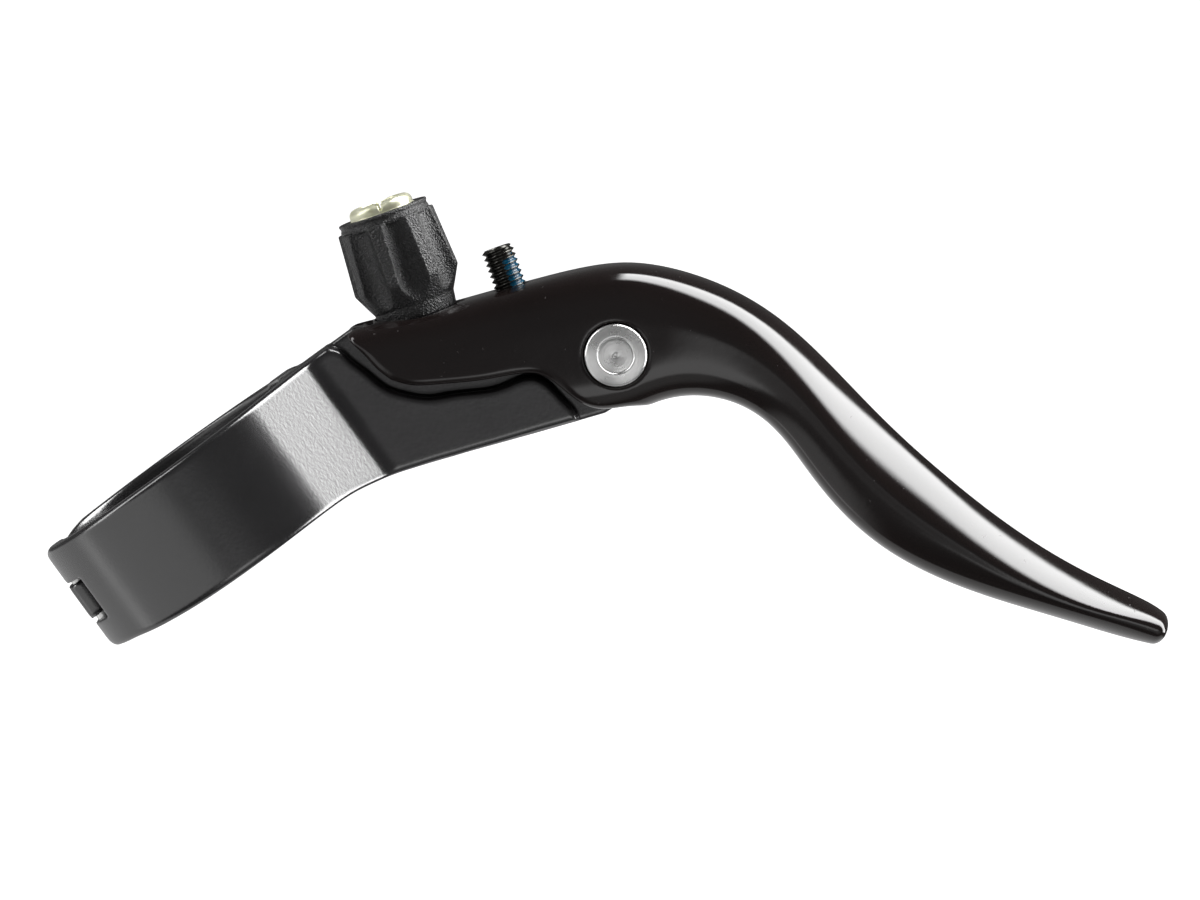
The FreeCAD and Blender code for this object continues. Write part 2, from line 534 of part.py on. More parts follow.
# shallow flat under the patch
pa, pb = radians(20), radians(75)
ring = revolve_about([(REACH_R - PATCH_T, 1.2), (REACH_R + 2, 1.2), (REACH_R + 2, 5.0), (REACH_R - PATCH_T, 5.0)],
                     top - AX * (REACH_OUT + 1.0), AX, SIDE)
wedge_pts = [top - AX * 10, top - AX * 10 + (SIDE * cos(pa) + V(0, 0, sin(pa))) * 8,
             top - AX * 10 + (SIDE * cos(pb) + V(0, 0, sin(pb))) * 8]
wedge = Part.Face(Part.makePolygon(wedge_pts + [wedge_pts[0]])).extrude(AX * 20)
patch_room = ring.common(wedge)
screw = screw.cut(patch_room)
patch = patch_room.common(cyl(REACH_R, top - AX * 12, AX, 14))
out(screw, "reach_screw")
out(patch, "reach_screw_lock_patch")
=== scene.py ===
import bpy
import math
import numpy as np
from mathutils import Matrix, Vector
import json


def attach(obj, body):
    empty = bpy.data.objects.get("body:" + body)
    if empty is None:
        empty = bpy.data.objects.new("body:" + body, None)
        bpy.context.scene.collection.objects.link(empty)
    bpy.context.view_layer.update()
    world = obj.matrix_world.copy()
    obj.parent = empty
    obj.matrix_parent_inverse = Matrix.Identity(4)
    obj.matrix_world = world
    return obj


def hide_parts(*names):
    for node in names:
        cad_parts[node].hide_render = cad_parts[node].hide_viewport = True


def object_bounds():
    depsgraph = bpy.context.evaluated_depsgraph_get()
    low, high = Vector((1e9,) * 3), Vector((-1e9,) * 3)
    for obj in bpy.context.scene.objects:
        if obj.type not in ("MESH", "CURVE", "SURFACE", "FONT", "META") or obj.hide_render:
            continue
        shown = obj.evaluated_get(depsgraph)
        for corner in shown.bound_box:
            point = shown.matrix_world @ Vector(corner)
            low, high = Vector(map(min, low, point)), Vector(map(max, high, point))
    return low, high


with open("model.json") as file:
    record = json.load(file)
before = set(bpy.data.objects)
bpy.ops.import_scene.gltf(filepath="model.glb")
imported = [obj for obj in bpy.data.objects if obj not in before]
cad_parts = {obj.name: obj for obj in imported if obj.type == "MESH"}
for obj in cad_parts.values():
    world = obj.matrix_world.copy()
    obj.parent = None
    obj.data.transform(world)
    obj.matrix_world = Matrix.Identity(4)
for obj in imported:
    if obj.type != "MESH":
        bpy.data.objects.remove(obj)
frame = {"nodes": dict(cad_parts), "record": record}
cad_lo, cad_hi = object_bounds()

MM = 0.001
F32 = np.float32

# ---------------------------------------------------------------------------
# shared sizes (mm), the same frame as the CAD
# ---------------------------------------------------------------------------
BAR_R, RING_R, RING_HW = 15.95, 19.0, 7.6
SLOPE, BLEND_R, BODY_HT = math.radians(42.0), 3.4, 6.75
PX, PY = 13.34, 50.84
TONGUE_HT, CHANNEL_HW, CHEEK = 3.8, 4.7, 8.3
HINGE_Y, KNUCKLE_R, PIN_R = -17.5, 1.5, 0.9
LUG_FRONT = 27.0


def unit(v):
    v = np.array(v, float)
    return v / np.linalg.norm(v)


AX = unit((-0.9584, 0.2854, 0.0))       # outward along the cable axis
SD = unit((0.2854, 0.9584, 0.0))        # across it
ZZ = np.array((0.0, 0.0, 1.0))
SEAT = np.array((-3.25, 34.05, 0.0))
RX = np.array((-0.1, 45.1, 0.0))

# ---------------------------------------------------------------------------
# implicit-surface mesher
# ---------------------------------------------------------------------------


def rmax(a, b, r):
    """Intersection with its edge rounded to radius r."""
    u = np.maximum(a + F32(r), 0)
    v = np.maximum(b + F32(r), 0)
    return np.minimum(np.maximum(a, b), F32(-r)) + np.sqrt(u * u + v * v)


def rmin(a, b, r):
    """Union with a fillet of radius r."""
    return -rmax(-a, -b, r)


class Grid:
    def __init__(self, lo, hi, h):
        self.h = h
        self.lo = np.array(lo, float)
        n = [int(math.ceil((b - a) / h)) + 1 for a, b in zip(lo, hi)]
        self.n = n
        self.x = (lo[0] + h * np.arange(n[0])).astype(F32)[:, None, None]
        self.y = (lo[1] + h * np.arange(n[1])).astype(F32)[None, :, None]
        self.z = (lo[2] + h * np.arange(n[2])).astype(F32)[None, None, :]

    def full(self, f):
        return np.ascontiguousarray(np.broadcast_to(f, self.n)).astype(F32)

    def along(self, p, d):
        """(distance from the axis, height along it) for the line through p along d."""
        x, y, z = self.x - F32(p[0]), self.y - F32(p[1]), self.z - F32(p[2])
        t = x * F32(d[0]) + y * F32(d[1]) + z * F32(d[2])
        r2 = x * x + y * y + z * z - t * t
        return np.sqrt(np.maximum(r2, 0)), t


def poly_sd(px, py, poly):
    """Signed distance to a closed polygon, negative inside."""
    px = np.asarray(px, F32)
    py = np.asarray(py, F32)
    px, py = np.broadcast_arrays(px, py)
    d2 = np.full(px.shape, 1e9, F32)
    inside = np.zeros(px.shape, bool)
    n = len(poly)
    for i in range(n):
        ax, ay = poly[i]
        bx, by = poly[(i + 1) % n]
        ex, ey = bx - ax, by - ay
        L = ex * ex + ey * ey
        if L < 1e-12:
            continue
        wx, wy = px - F32(ax), py - F32(ay)
        t = np.clip((wx * F32(ex) + wy * F32(ey)) / F32(L), 0, 1)
        dx, dy = wx - t * F32(ex), wy - t * F32(ey)
        np.minimum(d2, dx * dx + dy * dy, out=d2)
        if ey != 0:
            c = ((py >= F32(ay)) != (py >= F32(by))) & (wx < wy * F32(ex / ey))
            inside ^= c
    d = np.sqrt(d2)
    return np.where(inside, -d, d).astype(F32)


def curve(pts, per=8):
    """Natural cubic through pts, sampled."""
    p = np.array(pts, float)
    n = len(p)
    t = np.concatenate([[0], np.cumsum(np.linalg.norm(np.diff(p, axis=0), axis=1))])
    q = np.concatenate([np.linspace(t[i], t[i + 1], per, endpoint=False) for i in range(n - 1)] + [[t[-1]]])
    return [tuple(v) for v in spline_eval(t, p, q)]


def spline_eval(t, p, q):
    n = len(t)
    h = np.diff(t)
    A = np.zeros((n, n))
    R = np.zeros((n, p.shape[1]))
    A[0, 0] = A[-1, -1] = 1
    for i in range(1, n - 1):
        A[i, i - 1], A[i, i], A[i, i + 1] = h[i - 1], 2 * (h[i - 1] + h[i]), h[i]
        R[i] = 6 * ((p[i + 1] - p[i]) / h[i] - (p[i] - p[i - 1]) / h[i - 1])
    M = np.linalg.solve(A, R)
    k = np.clip(np.searchsorted(t, q, side="right") - 1, 0, n - 2)
    a = (t[k + 1] - q)[:, None]
    b = (q - t[k])[:, None]
    hk = h[k][:, None]
    return (M[k] * a ** 3 + M[k + 1] * b ** 3) / (6 * hk) + (p[k] / hk - M[k] * hk / 6) * a + (p[k + 1] / hk - M[k + 1] * hk / 6) * b


def smooth_rows(p, lam):
    """Small smoothing of a table's columns; its ends stay put."""
    n = len(p)
    D = np.zeros((n - 2, n))
    for i in range(n - 2):
        D[i, i:i + 3] = 1, -2, 1
    W = np.eye(n)
    W[0, 0] = W[-1, -1] = 1000
    return np.linalg.solve(W + lam * D.T @ D, W @ p)


def nets(g, F):
    """Surface nets: vertices, normals and quads of F = 0."""
    h = g.h
    nx, ny, nz = F.shape
    neg = F < 0
    s = np.zeros((nx - 1, ny - 1, nz - 1), np.uint8)
    for a in (0, 1):
        for b in (0, 1):
            for c in (0, 1):
                s += neg[a:nx - 1 + a, b:ny - 1 + b, c:nz - 1 + c]
    mix = (s > 0) & (s < 8)
    I, J, K = np.nonzero(mix)
    idx = np.full(mix.shape, -1, np.int32)
    idx[I, J, K] = np.arange(len(I))
    corner = {}
    for a in (0, 1):
        for b in (0, 1):
            for c in (0, 1):
                corner[(a, b, c)] = F[I + a, J + b, K + c]
    P = np.zeros((len(I), 3))
    cnt = np.zeros(len(I))
    cs = list(corner)
    for u in cs:
        for ax in range(3):
            if u[ax] == 1:
                continue
            v = list(u)
            v[ax] = 1
            v = tuple(v)
            fa, fb = corner[u], corner[v]
            cross = (fa < 0) != (fb < 0)
            t = np.where(cross, fa / np.where(cross, fa - fb, 1), 0)
            for k in range(3):
                P[:, k] += np.where(cross, u[k] + (t if k == ax else 0), 0)
            cnt += cross
    P = P / cnt[:, None] + np.stack([I, J, K], 1)
    # gradient, read at the vertices
    def tri(G, Q):
        q = np.clip(Q, 0.001, np.array(G.shape) - 1.001)
        i = np.floor(q).astype(int)
        f = q - i
        r = 0
        for a in (0, 1):
            for b in (0, 1):
                for c in (0, 1):
                    w = (f[:, 0] if a else 1 - f[:, 0]) * (f[:, 1] if b else 1 - f[:, 1]) * (f[:, 2] if c else 1 - f[:, 2])
                    r = r + w * G[i[:, 0] + a, i[:, 1] + b, i[:, 2] + c]
        return r
    gx, gy, gz = np.gradient(F)
    for it in range(2):
        N = np.stack([tri(gx, P), tri(gy, P), tri(gz, P)], 1)
        L2 = (N * N).sum(1)
        if it == 0:
            f = tri(F, P)
            step = N * (f / np.maximum(L2, 1e-9))[:, None]
            ln = np.linalg.norm(step, axis=1)
            step *= np.minimum(1, 0.45 / np.maximum(ln, 1e-9))[:, None]
            P = P - step
    N = N / np.maximum(np.sqrt(L2), 1e-9)[:, None]
    quads = []
    for ax in range(3):
        o1, o2 = [(1, 2), (2, 0), (0, 1)][ax]
        sl0 = [slice(None)] * 3
        sl1 = [slice(None)] * 3
        sl0[ax] = slice(0, -1)
        sl1[ax] = slice(1, None)
        a, b = neg[tuple(sl0)], neg[tuple(sl1)]
        e = np.stack(np.nonzero(a != b), 1)
        ok = (e[:, o1] > 0) & (e[:, o2] > 0) & (e[:, o1] < F.shape[o1] - 1) & (e[:, o2] < F.shape[o2] - 1)
        e = e[ok]
        flip = a[e[:, 0], e[:, 1], e[:, 2]]
        def cell(d1, d2):
            c = e.copy()
            c[:, o1] -= d1
            c[:, o2] -= d2
            return idx[c[:, 0], c[:, 1], c[:, 2]]
        q = np.stack([cell(1, 1), cell(0, 1), cell(0, 0), cell(1, 0)], 1)
        q = np.where(flip[:, None], q, q[:, ::-1])
        quads.append(q)
    Q = np.concatenate(quads)
    return P * h + g.lo, N, Q


def new_mesh(name, V, faces, N=None, smooth=True):
    me = bpy.data.meshes.new(name)
    V = np.asarray(V, float) * MM
    me.from_pydata([tuple(v) for v in V], [], [tuple(int(i) for i in f) for f in faces])
    me.validate()
    me.update()
    if smooth:
        me.polygons.foreach_set("use_smooth", [True] * len(me.polygons))
    if N is not None:
        me.normals_split_custom_set_from_vertices([tuple(n) for n in N])
    ob = bpy.data.objects.new(name, me)
    bpy.context.scene.collection.objects.link(ob)
    return ob


def fast_mesh(name, V, Q, N):
    me = bpy.data.meshes.new(name)
    V = np.asarray(V, float) * MM
    me.vertices.add(len(V))
    me.vertices.foreach_set("co", V.astype(F32).ravel())
    me.loops.add(Q.size)
    me.loops.foreach_set("vertex_index", Q.astype(np.int32).ravel())
    me.polygons.add(len(Q))
    me.polygons.foreach_set("loop_start", np.arange(0, Q.size, 4, dtype=np.int32))
    me.polygons.foreach_set("loop_total", np.full(len(Q), 4, np.int32))
    me.update(calc_edges=True)
    me.polygons.foreach_set("use_smooth", np.ones(len(Q), bool))
    me.normals_split_custom_set_from_vertices(N.astype(float).tolist())
    me.update()
    ob = bpy.data.objects.new(name, me)
    bpy.context.scene.collection.objects.link(ob)
    return ob


def field_piece(name, g, F, local=None):
    V, N, Q = nets(g, F)
    if local is not None:
        o, ex, ey, ez = local
        M = np.stack([ex, ey, ez], 0)
        V = V @ M + o
        N = N @ M
    print("piece", name, "verts", len(V), "quads", len(Q))
    return fast_mesh(name, V, Q, N)


# ---------------------------------------------------------------------------
# lever
# ---------------------------------------------------------------------------
# outer point, inner point, half thickness, exponent outer side, inner side, crown position
STN = [
    (-8.5, 24.6, 6.5, 20.1, 8.1, 4.6, 4.6, 0.0),
    (-6.55, 30.0, 8.6, 26.3, 8.15, 4.6, 4.6, 0.0),
    (-4.25, 34.4, 11.0, 31.2, 8.2, 4.6, 4.6, 0.0),
    (-2.45, 39.14, 13.6, 36.4, 8.3, 4.6, 4.6, 0.0),
    (-0.72, 43.8, 16.2, 41.2, 8.3, 4.6, 4.6, 0.0),
    (1.14, 48.47, 18.9, 45.6, 8.3, 4.5, 4.6, 0.0),
    (3.2, 53.6, 20.4, 49.3, 8.3, 4.2, 4.5, 0.0),
    (5.6, 57.95, 21.0, 51.87, 8.2, 3.6, 4.4, 0.0),
    (8.38, 61.05, 22.06, 54.06, 8.0, 2.95, 4.2, 0.0),
    (12.21, 64.21, 23.75, 56.4, 7.6, 2.37, 4.0, 0.0),
    (16.67, 66.92, 26.1, 58.5, 7.2, 2.05, 3.9, 0.0),
    (21.92, 69.04, 29.2, 60.2, 6.9, 1.66, 3.8, 0.0),
    (28.23, 70.39, 33.3, 61.15, 6.72, 1.43, 3.7, 0.0),
    (35.14, 71.31, 38.9, 61.1, 6.62, 1.29, 3.6, 0.0),
    (41.83, 72.39, 45.3, 61.5, 6.56, 1.26, 3.4, 0.0),
    (48.06, 73.81, 52.0, 63.2, 6.50, 1.29, 3.0, 0.0),
    (54.06, 75.38, 58.6, 66.5, 6.40, 1.28, 2.5, 0.0),
    (59.73, 77.21, 64.1, 70.15, 6.2, 1.25, 2.2, -0.12),
    (65.01, 79.31, 68.95, 73.8, 5.95, 1.24, 2.0, -0.22),
    (69.89, 81.71, 73.25, 77.0, 5.6, 1.24, 1.8, -0.22),
    (74.51, 84.29, 77.3, 80.08, 5.0, 1.34, 1.8, -0.03),
    (77.2, 85.55, 79.75, 82.2, 4.5, 1.7, 2.0, 0.0),
    (80.2, 85.9, 82.6, 84.9, 3.9, 2.2, 2.2, 0.0),
]
NOSE = curve([(-8.6, 30.6), (-7.95, 28.7), (-7.8, 27.0), (-7.3, 26.15), (-6.3, 26.1), (-4.4, 26.5), (-2.2, 26.75), (0.0, 27.4)])
LOW = curve([(0.0, 27.4), (1.75, 28.8), (3.4, 31.1), (5.1, 33.9), (6.75, 36.9), (8.55, 40.5), (9.9, 42.15),
             (11.6, 42.95), (13.9, 43.55), (16.05, 44.3), (17.45, 45.35), (18.85, 47.5), (20.1, 49.3), (22.5, 51.0)])
TRIM = NOSE[:-1] + LOW + [(60, 52), (95, 80), (95, 100), (-20, 100), (-20, 38)]


def lever_field(h):
    g = Grid((-9.7, 24.4, -9.0), (81.2, 87.2, 9.0), h)
    st = smooth_rows(np.array(STN), 0.12)
    t = np.concatenate([[0], np.cumsum(np.linalg.norm(np.diff(0.5 * (st[:, 0:2] + st[:, 2:4]), axis=0), axis=1))])
    q = np.linspace(0, t[-1], 900)
    d = spline_eval(t, st, q)
    X = np.broadcast_to(g.x[:, :, 0], (g.n[0], g.n[1])).astype(F32)
    Y = np.broadcast_to(g.y[:, :, 0], (g.n[0], g.n[1])).astype(F32)
    best = np.full(X.shape, 6.0, F32)
    bu = np.full(X.shape, 6.0, F32)
    bs = np.zeros(X.shape, F32)
    gp = None
    for i in range(len(q)):
        cx, cy = 0.5 * (d[i, 0] + d[i, 2]), 0.5 * (d[i, 1] + d[i, 3])
        ex, ey = 0.5 * (d[i, 0] - d[i, 2]), 0.5 * (d[i, 1] - d[i, 3])
        wx, wy = X - F32(cx), Y - F32(cy)
        gc = wx * F32(ey) - wy * F32(ex)
        uc = (wx * F32(ex) + wy * F32(ey)) / F32(ex * ex + ey * ey)
        if gp is not None:
            m = (gp > 0) != (gc > 0)
            if m.any():
                w = gp[m] / (gp[m] - gc[m])
                u = up[m] * (1 - w) + uc[m] * w
                s = i - 1 + w
                better = np.abs(u) < best[m]
                mi = np.nonzero(m)
                sel = (mi[0][better], mi[1][better])
                best[sel] = np.abs(u[better])
                bu[sel] = u[better]
                bs[sel] = s[better]
        gp, up = gc, uc
    i0 = np.clip(np.floor(bs).astype(int), 0, len(q) - 2)
    w = bs - i0
    H = d[i0, 4] * (1 - w) + d[i0 + 1, 4] * w
    nT = d[i0, 5] * (1 - w) + d[i0 + 1, 5] * w
    nB = d[i0, 6] * (1 - w) + d[i0 + 1, 6] * w
    cr = (d[i0, 7] * (1 - w) + d[i0 + 1, 7] * w).astype(F32)
    # measure across the section from its crown
    bu = np.where(bu > cr, (bu - cr) / (1 - cr), (bu - cr) / (1 + cr))
    # change from one exponent to the other just inside the crown
    k = np.clip(1.0 + bu / 0.2, 0, 1)
    k = k * k * (3 - 2 * k)
    n = (nB * (1 - k) + nT * k).astype(F32)[:, :, None]
    ub = np.sqrt(bu * bu + F32(0.02) ** 2) - F32(0.02)      # the ridge at the crown is slightly soft
    A = np.power(np.abs(ub)[:, :, None] + F32(1e-6), n)
    B = np.power(np.abs(g.z) / H.astype(F32)[:, :, None], n)
    F = np.power(A + B, 1 / n).astype(F32)
    gx, gy, gz = np.gradient(F, h)
    G = np.sqrt(gx * gx + gy * gy + gz * gz)
    f = (F - 1) / np.clip(G, 0.03, 4.0)
    f = np.minimum(f, 6).astype(F32)
    del gx, gy, gz, G, A, B, F
    trim = poly_sd(X, Y, TRIM)[:, :, None]
    f = rmax(f, trim, 0.65)
    # blunt end of the blade
    e = unit((0.851, 0.525, 0))
    tip = ((X - F32(79.5)) * F32(e[0]) + (Y - F32(84.3)) * F32(e[1]))[:, :, None]
    f = rmax(f, tip, 1.1)
    # slot for the tongue
    fa = SEAT - AX * 4.9
    f0 = fa - SD * 3.2
    ch = [(-14, 29.35), (f0[0] - 0.5, 29.35), (f0[0] + 0.15, 29.9), tuple((fa + SD * 9.0)[:2]), (PX - 6.6, PY - 3.5)]
    ch += [(PX + 6.2 * math.cos(a), PY + 6.2 * math.sin(a)) for a in [math.pi - i * math.pi / 24 for i in range(25)]]
    ch += [(PX + 6.2, 30), (20, 10), (-14, 10)]
    cf = np.maximum(poly_sd(X, Y, ch)[:, :, None], np.abs(g.z) - F32(CHANNEL_HW))
    f = rmax(f, -cf, 0.3)
    # adjuster seat and thread
    r, tt = g.along(SEAT, AX)
    f = rmax(f, -np.maximum(r - F32(5.75), -tt), 0.25)
    f = rmax(f, -np.maximum(r - F32(3.0), np.abs(tt) - F32(9)), 0.15)
    r, tt = g.along(RX, AX)
    f = rmax(f, -np.maximum(r - F32(2.05), -tt - F32(8.7)), 0.12)
    r, tt = g.along((PX, PY, 0), ZZ)
    f = np.maximum(f, -(r - F32(2.5)))
    f = rmax(f, -np.maximum(r - F32(3.93), -tt + F32(CHEEK - 0.5)), 0.14)
    f = rmax(f, -np.maximum(r - F32(3.72), tt + F32(CHEEK - 0.5)), 0.14)
    return g, f


# ---------------------------------------------------------------------------
# bracket and cap
# ---------------------------------------------------------------------------
RIGHT = curve([(6.3, -19.6), (6.62, -17.8), (6.8, -15.4), (7.15, -12.9), (7.42, -10.2), (7.62, -7.4), (7.75, -4.5), (7.85, 1.3),
               (7.85, 7.3), (7.92, 13.35), (8.2, 16.2), (8.8, 18.8), (9.5, 21.3), (10.3, 23.7), (11.1, 26.1), (11.95, 28.4),
               (12.8, 30.8), (13.65, 33.1), (14.5, 35.5), (15.35, 37.9), (16.2, 40.2), (17.05, 42.5)], 4)
STEP = curve([(17.05, 42.5), (16.4, 42.75), (14.4, 42.6), (11.6, 42.2), (9.9, 41.4), (8.4, 37.4), (5.9, 32.6), (4.3, 29.6),
              (2.8, 28.0), (0.3, 26.2), (-2.6, 25.4), (-5.0, 24.7), (-6.6, 24.3), (-7.6, 23.3)], 6)


def rear_plan():
    """Rear of the clamp seen along the pivot, from the left side round to the right."""
    pts = [(-6.3 + 1.3 * math.cos(a), -17.7 + 1.3 * math.sin(a)) for a in np.linspace(math.pi, 1.5 * math.pi, 9)]
    pts += [(5.22 + 1.4 * math.cos(a), -17.6 + 1.4 * math.sin(a)) for a in np.linspace(-0.5 * math.pi, 0, 9)]
    return pts


def wall_poly():
    rest = [p for p in RIGHT if p[1] > -16.9]
    return [(-7.6, 23.3)] + rear_plan() + rest + STEP[1:-1]


def ring_profile():
    ty, tz = RING_R * math.sin(SLOPE), RING_R * math.cos(SLOPE)
    ky = ty + (tz - BODY_HT) / math.tan(SLOPE)
    bt = BLEND_R * math.tan(SLOPE / 2)
    pts = [(RING_R * math.cos(a), RING_R * math.sin(a)) for a in np.linspace(math.pi, math.pi / 2 - SLOPE, 90)]
    pts += [(ky + bt + BLEND_R * math.cos(a), BODY_HT + BLEND_R + BLEND_R * math.sin(a))
            for a in np.linspace(-math.pi / 2 - SLOPE, -math.pi / 2, 24)]
    pts += [(60, BODY_HT), (60, -30), (-RING_R, -30)]
    return pts


def bracket_field(h):
    g = Grid((-8.2, -19.9, -9.2), (19.9, 56.6, 19.7), h)
    X, Y = g.x[:, :, 0], g.y[:, :, 0]
    Yz, Zz = g.y[0], g.z[0]
    wall = poly_sd(X, Y, wall_poly())[:, :, None]
    prof = poly_sd(Yz, Zz, ring_profile())[None]
    near = rmax(wall, prof, 0.75)
    split = np.where(g.y < 0, F32(0.5), F32(0.0))
    near = rmax(near, split - g.z, 0.18)
    far = rmax(rmax(wall, -g.z - F32(BODY_HT), 0.8), F32(28.0) - g.y, 0.5)
    far = np.maximum(far, g.z - F32(0.6))
    f = np.minimum(near, far)
    ac = RX - AX * 8.8
    tp = [(-7.6, 17.0), (-7.6, 27.2), (-6.9, 28.4), (-5.9, 28.75), (0.2, 28.9), (1.08, 29.5), (3.8, 38.7), (4.1, 39.6),
          tuple((ac - SD * 2.6)[:2]), tuple((ac + SD * 2.3)[:2]), (PX - 5.4, PY - 1.6)]
    tp += [(PX + 5.4 * math.cos(a), PY + 5.4 * math.sin(a)) for a in [math.pi - i * math.pi / 24 for i in range(25)]]
    tp += [(PX + 5.25, 48.0), (18.45, 45.6), (17.3, 42.4), (15.4, 37.2), (13.2, 31.4), (10.8, 24.8), (8.0, 17.0)]
    tongue = rmax(poly_sd(X, Y, tp)[:, :, None], np.abs(g.z) - F32(TONGUE_HT), 0.4)
    tongue = np.maximum(tongue, -np.maximum(g.y - F32(28.0), g.z))
    f = rmin(f, tongue, 0.35)
    # knuckles and notch
    r, t = g.along((0, HINGE_Y, 0), (1, 0, 0))
    kn = rmax(r - F32(KNUCKLE_R), wall + F32(0.02), 0.4)
    kn = rmax(kn, F32(2.9) - np.abs(g.x), 0.15)
    f = np.minimum(f, kn)
    cut = np.maximum(np.maximum(g.y + F32(15.0), -F32(19.6) - g.y), np.maximum(g.z - F32(0.5), -F32(3) - g.z))
    cut = np.maximum(cut, -(r - F32(KNUCKLE_R)))
    f = np.maximum(f, -cut)
    notch = rmax(np.abs(g.x) - F32(2.9), g.y + F32(16.6), 0.12)
    notch = np.maximum(notch, np.abs(g.z - F32(4.5)) - F32(9.5))
    f = rmax(f, -notch, 0.16)
    f = np.maximum(f, -np.maximum(r - F32(KNUCKLE_R + 0.35), np.abs(g.x) - F32(2.9)))
    rb, t = g.along((0, 0, 0), (1, 0, 0))
    f = rmax(f, -(rb - F32(BAR_R)), 0.3)
    f = np.maximum(f, -(r - F32(PIN_R)))
    front = np.maximum(np.maximum(F32(14) - g.y, g.y - F32(27.5)), np.maximum(g.z, -F32(1) - g.z))
    f = np.maximum(f, -front)
    r, t = g.along((0, 22.2, 0), ZZ)
    f = np.maximum(f, -np.maximum(r - F32(2.54), np.maximum(t - F32(6.35), -t - F32(1))))
    r, t = g.along((PX, PY, 0), ZZ)
    f = rmax(f, -(r - F32(3.25)), 0.12)
    r, t = g.along(SEAT, AX)
    f = np.maximum(f, -np.maximum(r - F32(1.0), t + F32(3)))
    f = rmax(f, -np.maximum(r - F32(3.3), t + F32(8.35)), 0.2)
    return g, g.full(f)


def cap_field(h):
    g = Grid((-8.2, -19.6, -19.6), (8.2, 27.6, 2.1), h)
    X, Y = g.x[:, :, 0], g.y[:, :, 0]
    rb, t = g.along((0, 0, 0), (1, 0, 0))
    # rear corners rounded in plan, like the other half
    cp = [(-7.6, 30.0)] + curve([(-7.6, -13.6), (-7.25, -15.4), (-6.5, -17.1), (-5.3, -18.4), (-4.0, -19.0)], 4) + rear_plan()[9:] + [(6.8, -15.4), (7.15, -12.9), (7.42, -10.2), (7.6, -7.4), (7.6, 30.0)]
    wall = poly_sd(X, Y, cp)[:, :, None]
    ring = rmax(rb - F32(RING_R), wall, 0.75)
    ring = rmax(ring, g.z + F32(0.5), 0.18)
    lp = [(-7.6, 8), (7.6, 8), (7.6, 17.5), (7.35, 20.3), (6.55, 23.0), (4.9, 25.4), (2.6, 27.0), (-2.6, 26.1), (-4.8, 24.6),
          (-6.35, 22.6), (-7.3, 20.0), (-7.6, 17.5)]
    lug = rmax(poly_sd(X, Y, curve(lp[2:], 5) + [lp[0], lp[1]])[:, :, None], np.abs(g.z + F32(4.0)) - F32(3.0), 0.5)
    f = rmin(ring, lug, 0.8)
    f = np.maximum(f, -np.maximum(F32(12) - g.y, -F32(1.0) - g.z))
    # a web under the lug
    web = rmax(np.abs(g.x) - F32(2.2), np.maximum(g.y - F32(16.6), F32(9) - g.y), 0.5)
    web = rmax(web, np.maximum(-F32(11.6) - g.z, g.z + F32(5)), 0.5)
    f = rmin(f, web, 0.8)
    r, t = g.along((0, HINGE_Y, 0), (1, 0, 0))
    f = np.maximum(f, -(r - F32(KNUCKLE_R + 0.35)))
    slots = rmax(np.abs(np.abs(g.x) - F32(2.65)) - F32(0.25), g.y + F32(16.6), 0.1)
    f = np.maximum(f, -np.maximum(slots, -F32(9.2) - g.z))
    kn = rmax(r - F32(KNUCKLE_R), np.abs(g.x) - F32(2.4), 0.6)
    arm = rmax(np.abs(g.x) - F32(2.4), np.maximum(np.maximum(g.z, -F32(3.4) - g.z), g.y + F32(15.9)), 0.6)
    arm = np.maximum(arm, rb - F32(RING_R))
    f = np.minimum(f, np.minimum(kn, arm))
    f = rmax(f, -(rb - F32(BAR_R)), 0.3)
    f = np.maximum(f, -(r - F32(PIN_R + 0.04)))
    sx = g.x
    sy = g.y - np.clip(g.y, 22.2, 22.8)
    slot = np.sqrt(sx * sx + sy * sy) - F32(2.9)
    f = rmax(f, -slot, 0.25)
    r, t = g.along((0, 22.2, 0), ZZ)
    f = rmax(f, -np.maximum(r - F32(5.1), g.z + F32(7.0)), 0.15)
    return g, g.full(f)


# ---------------------------------------------------------------------------
# knob and barrel, in their own frame: x' = Z, y' = across, z' = along the axis
# ---------------------------------------------------------------------------
LOCAL = (SEAT + AX * 0.35, ZZ, SD, AX)
RIDGE0 = math.radians(32.0)


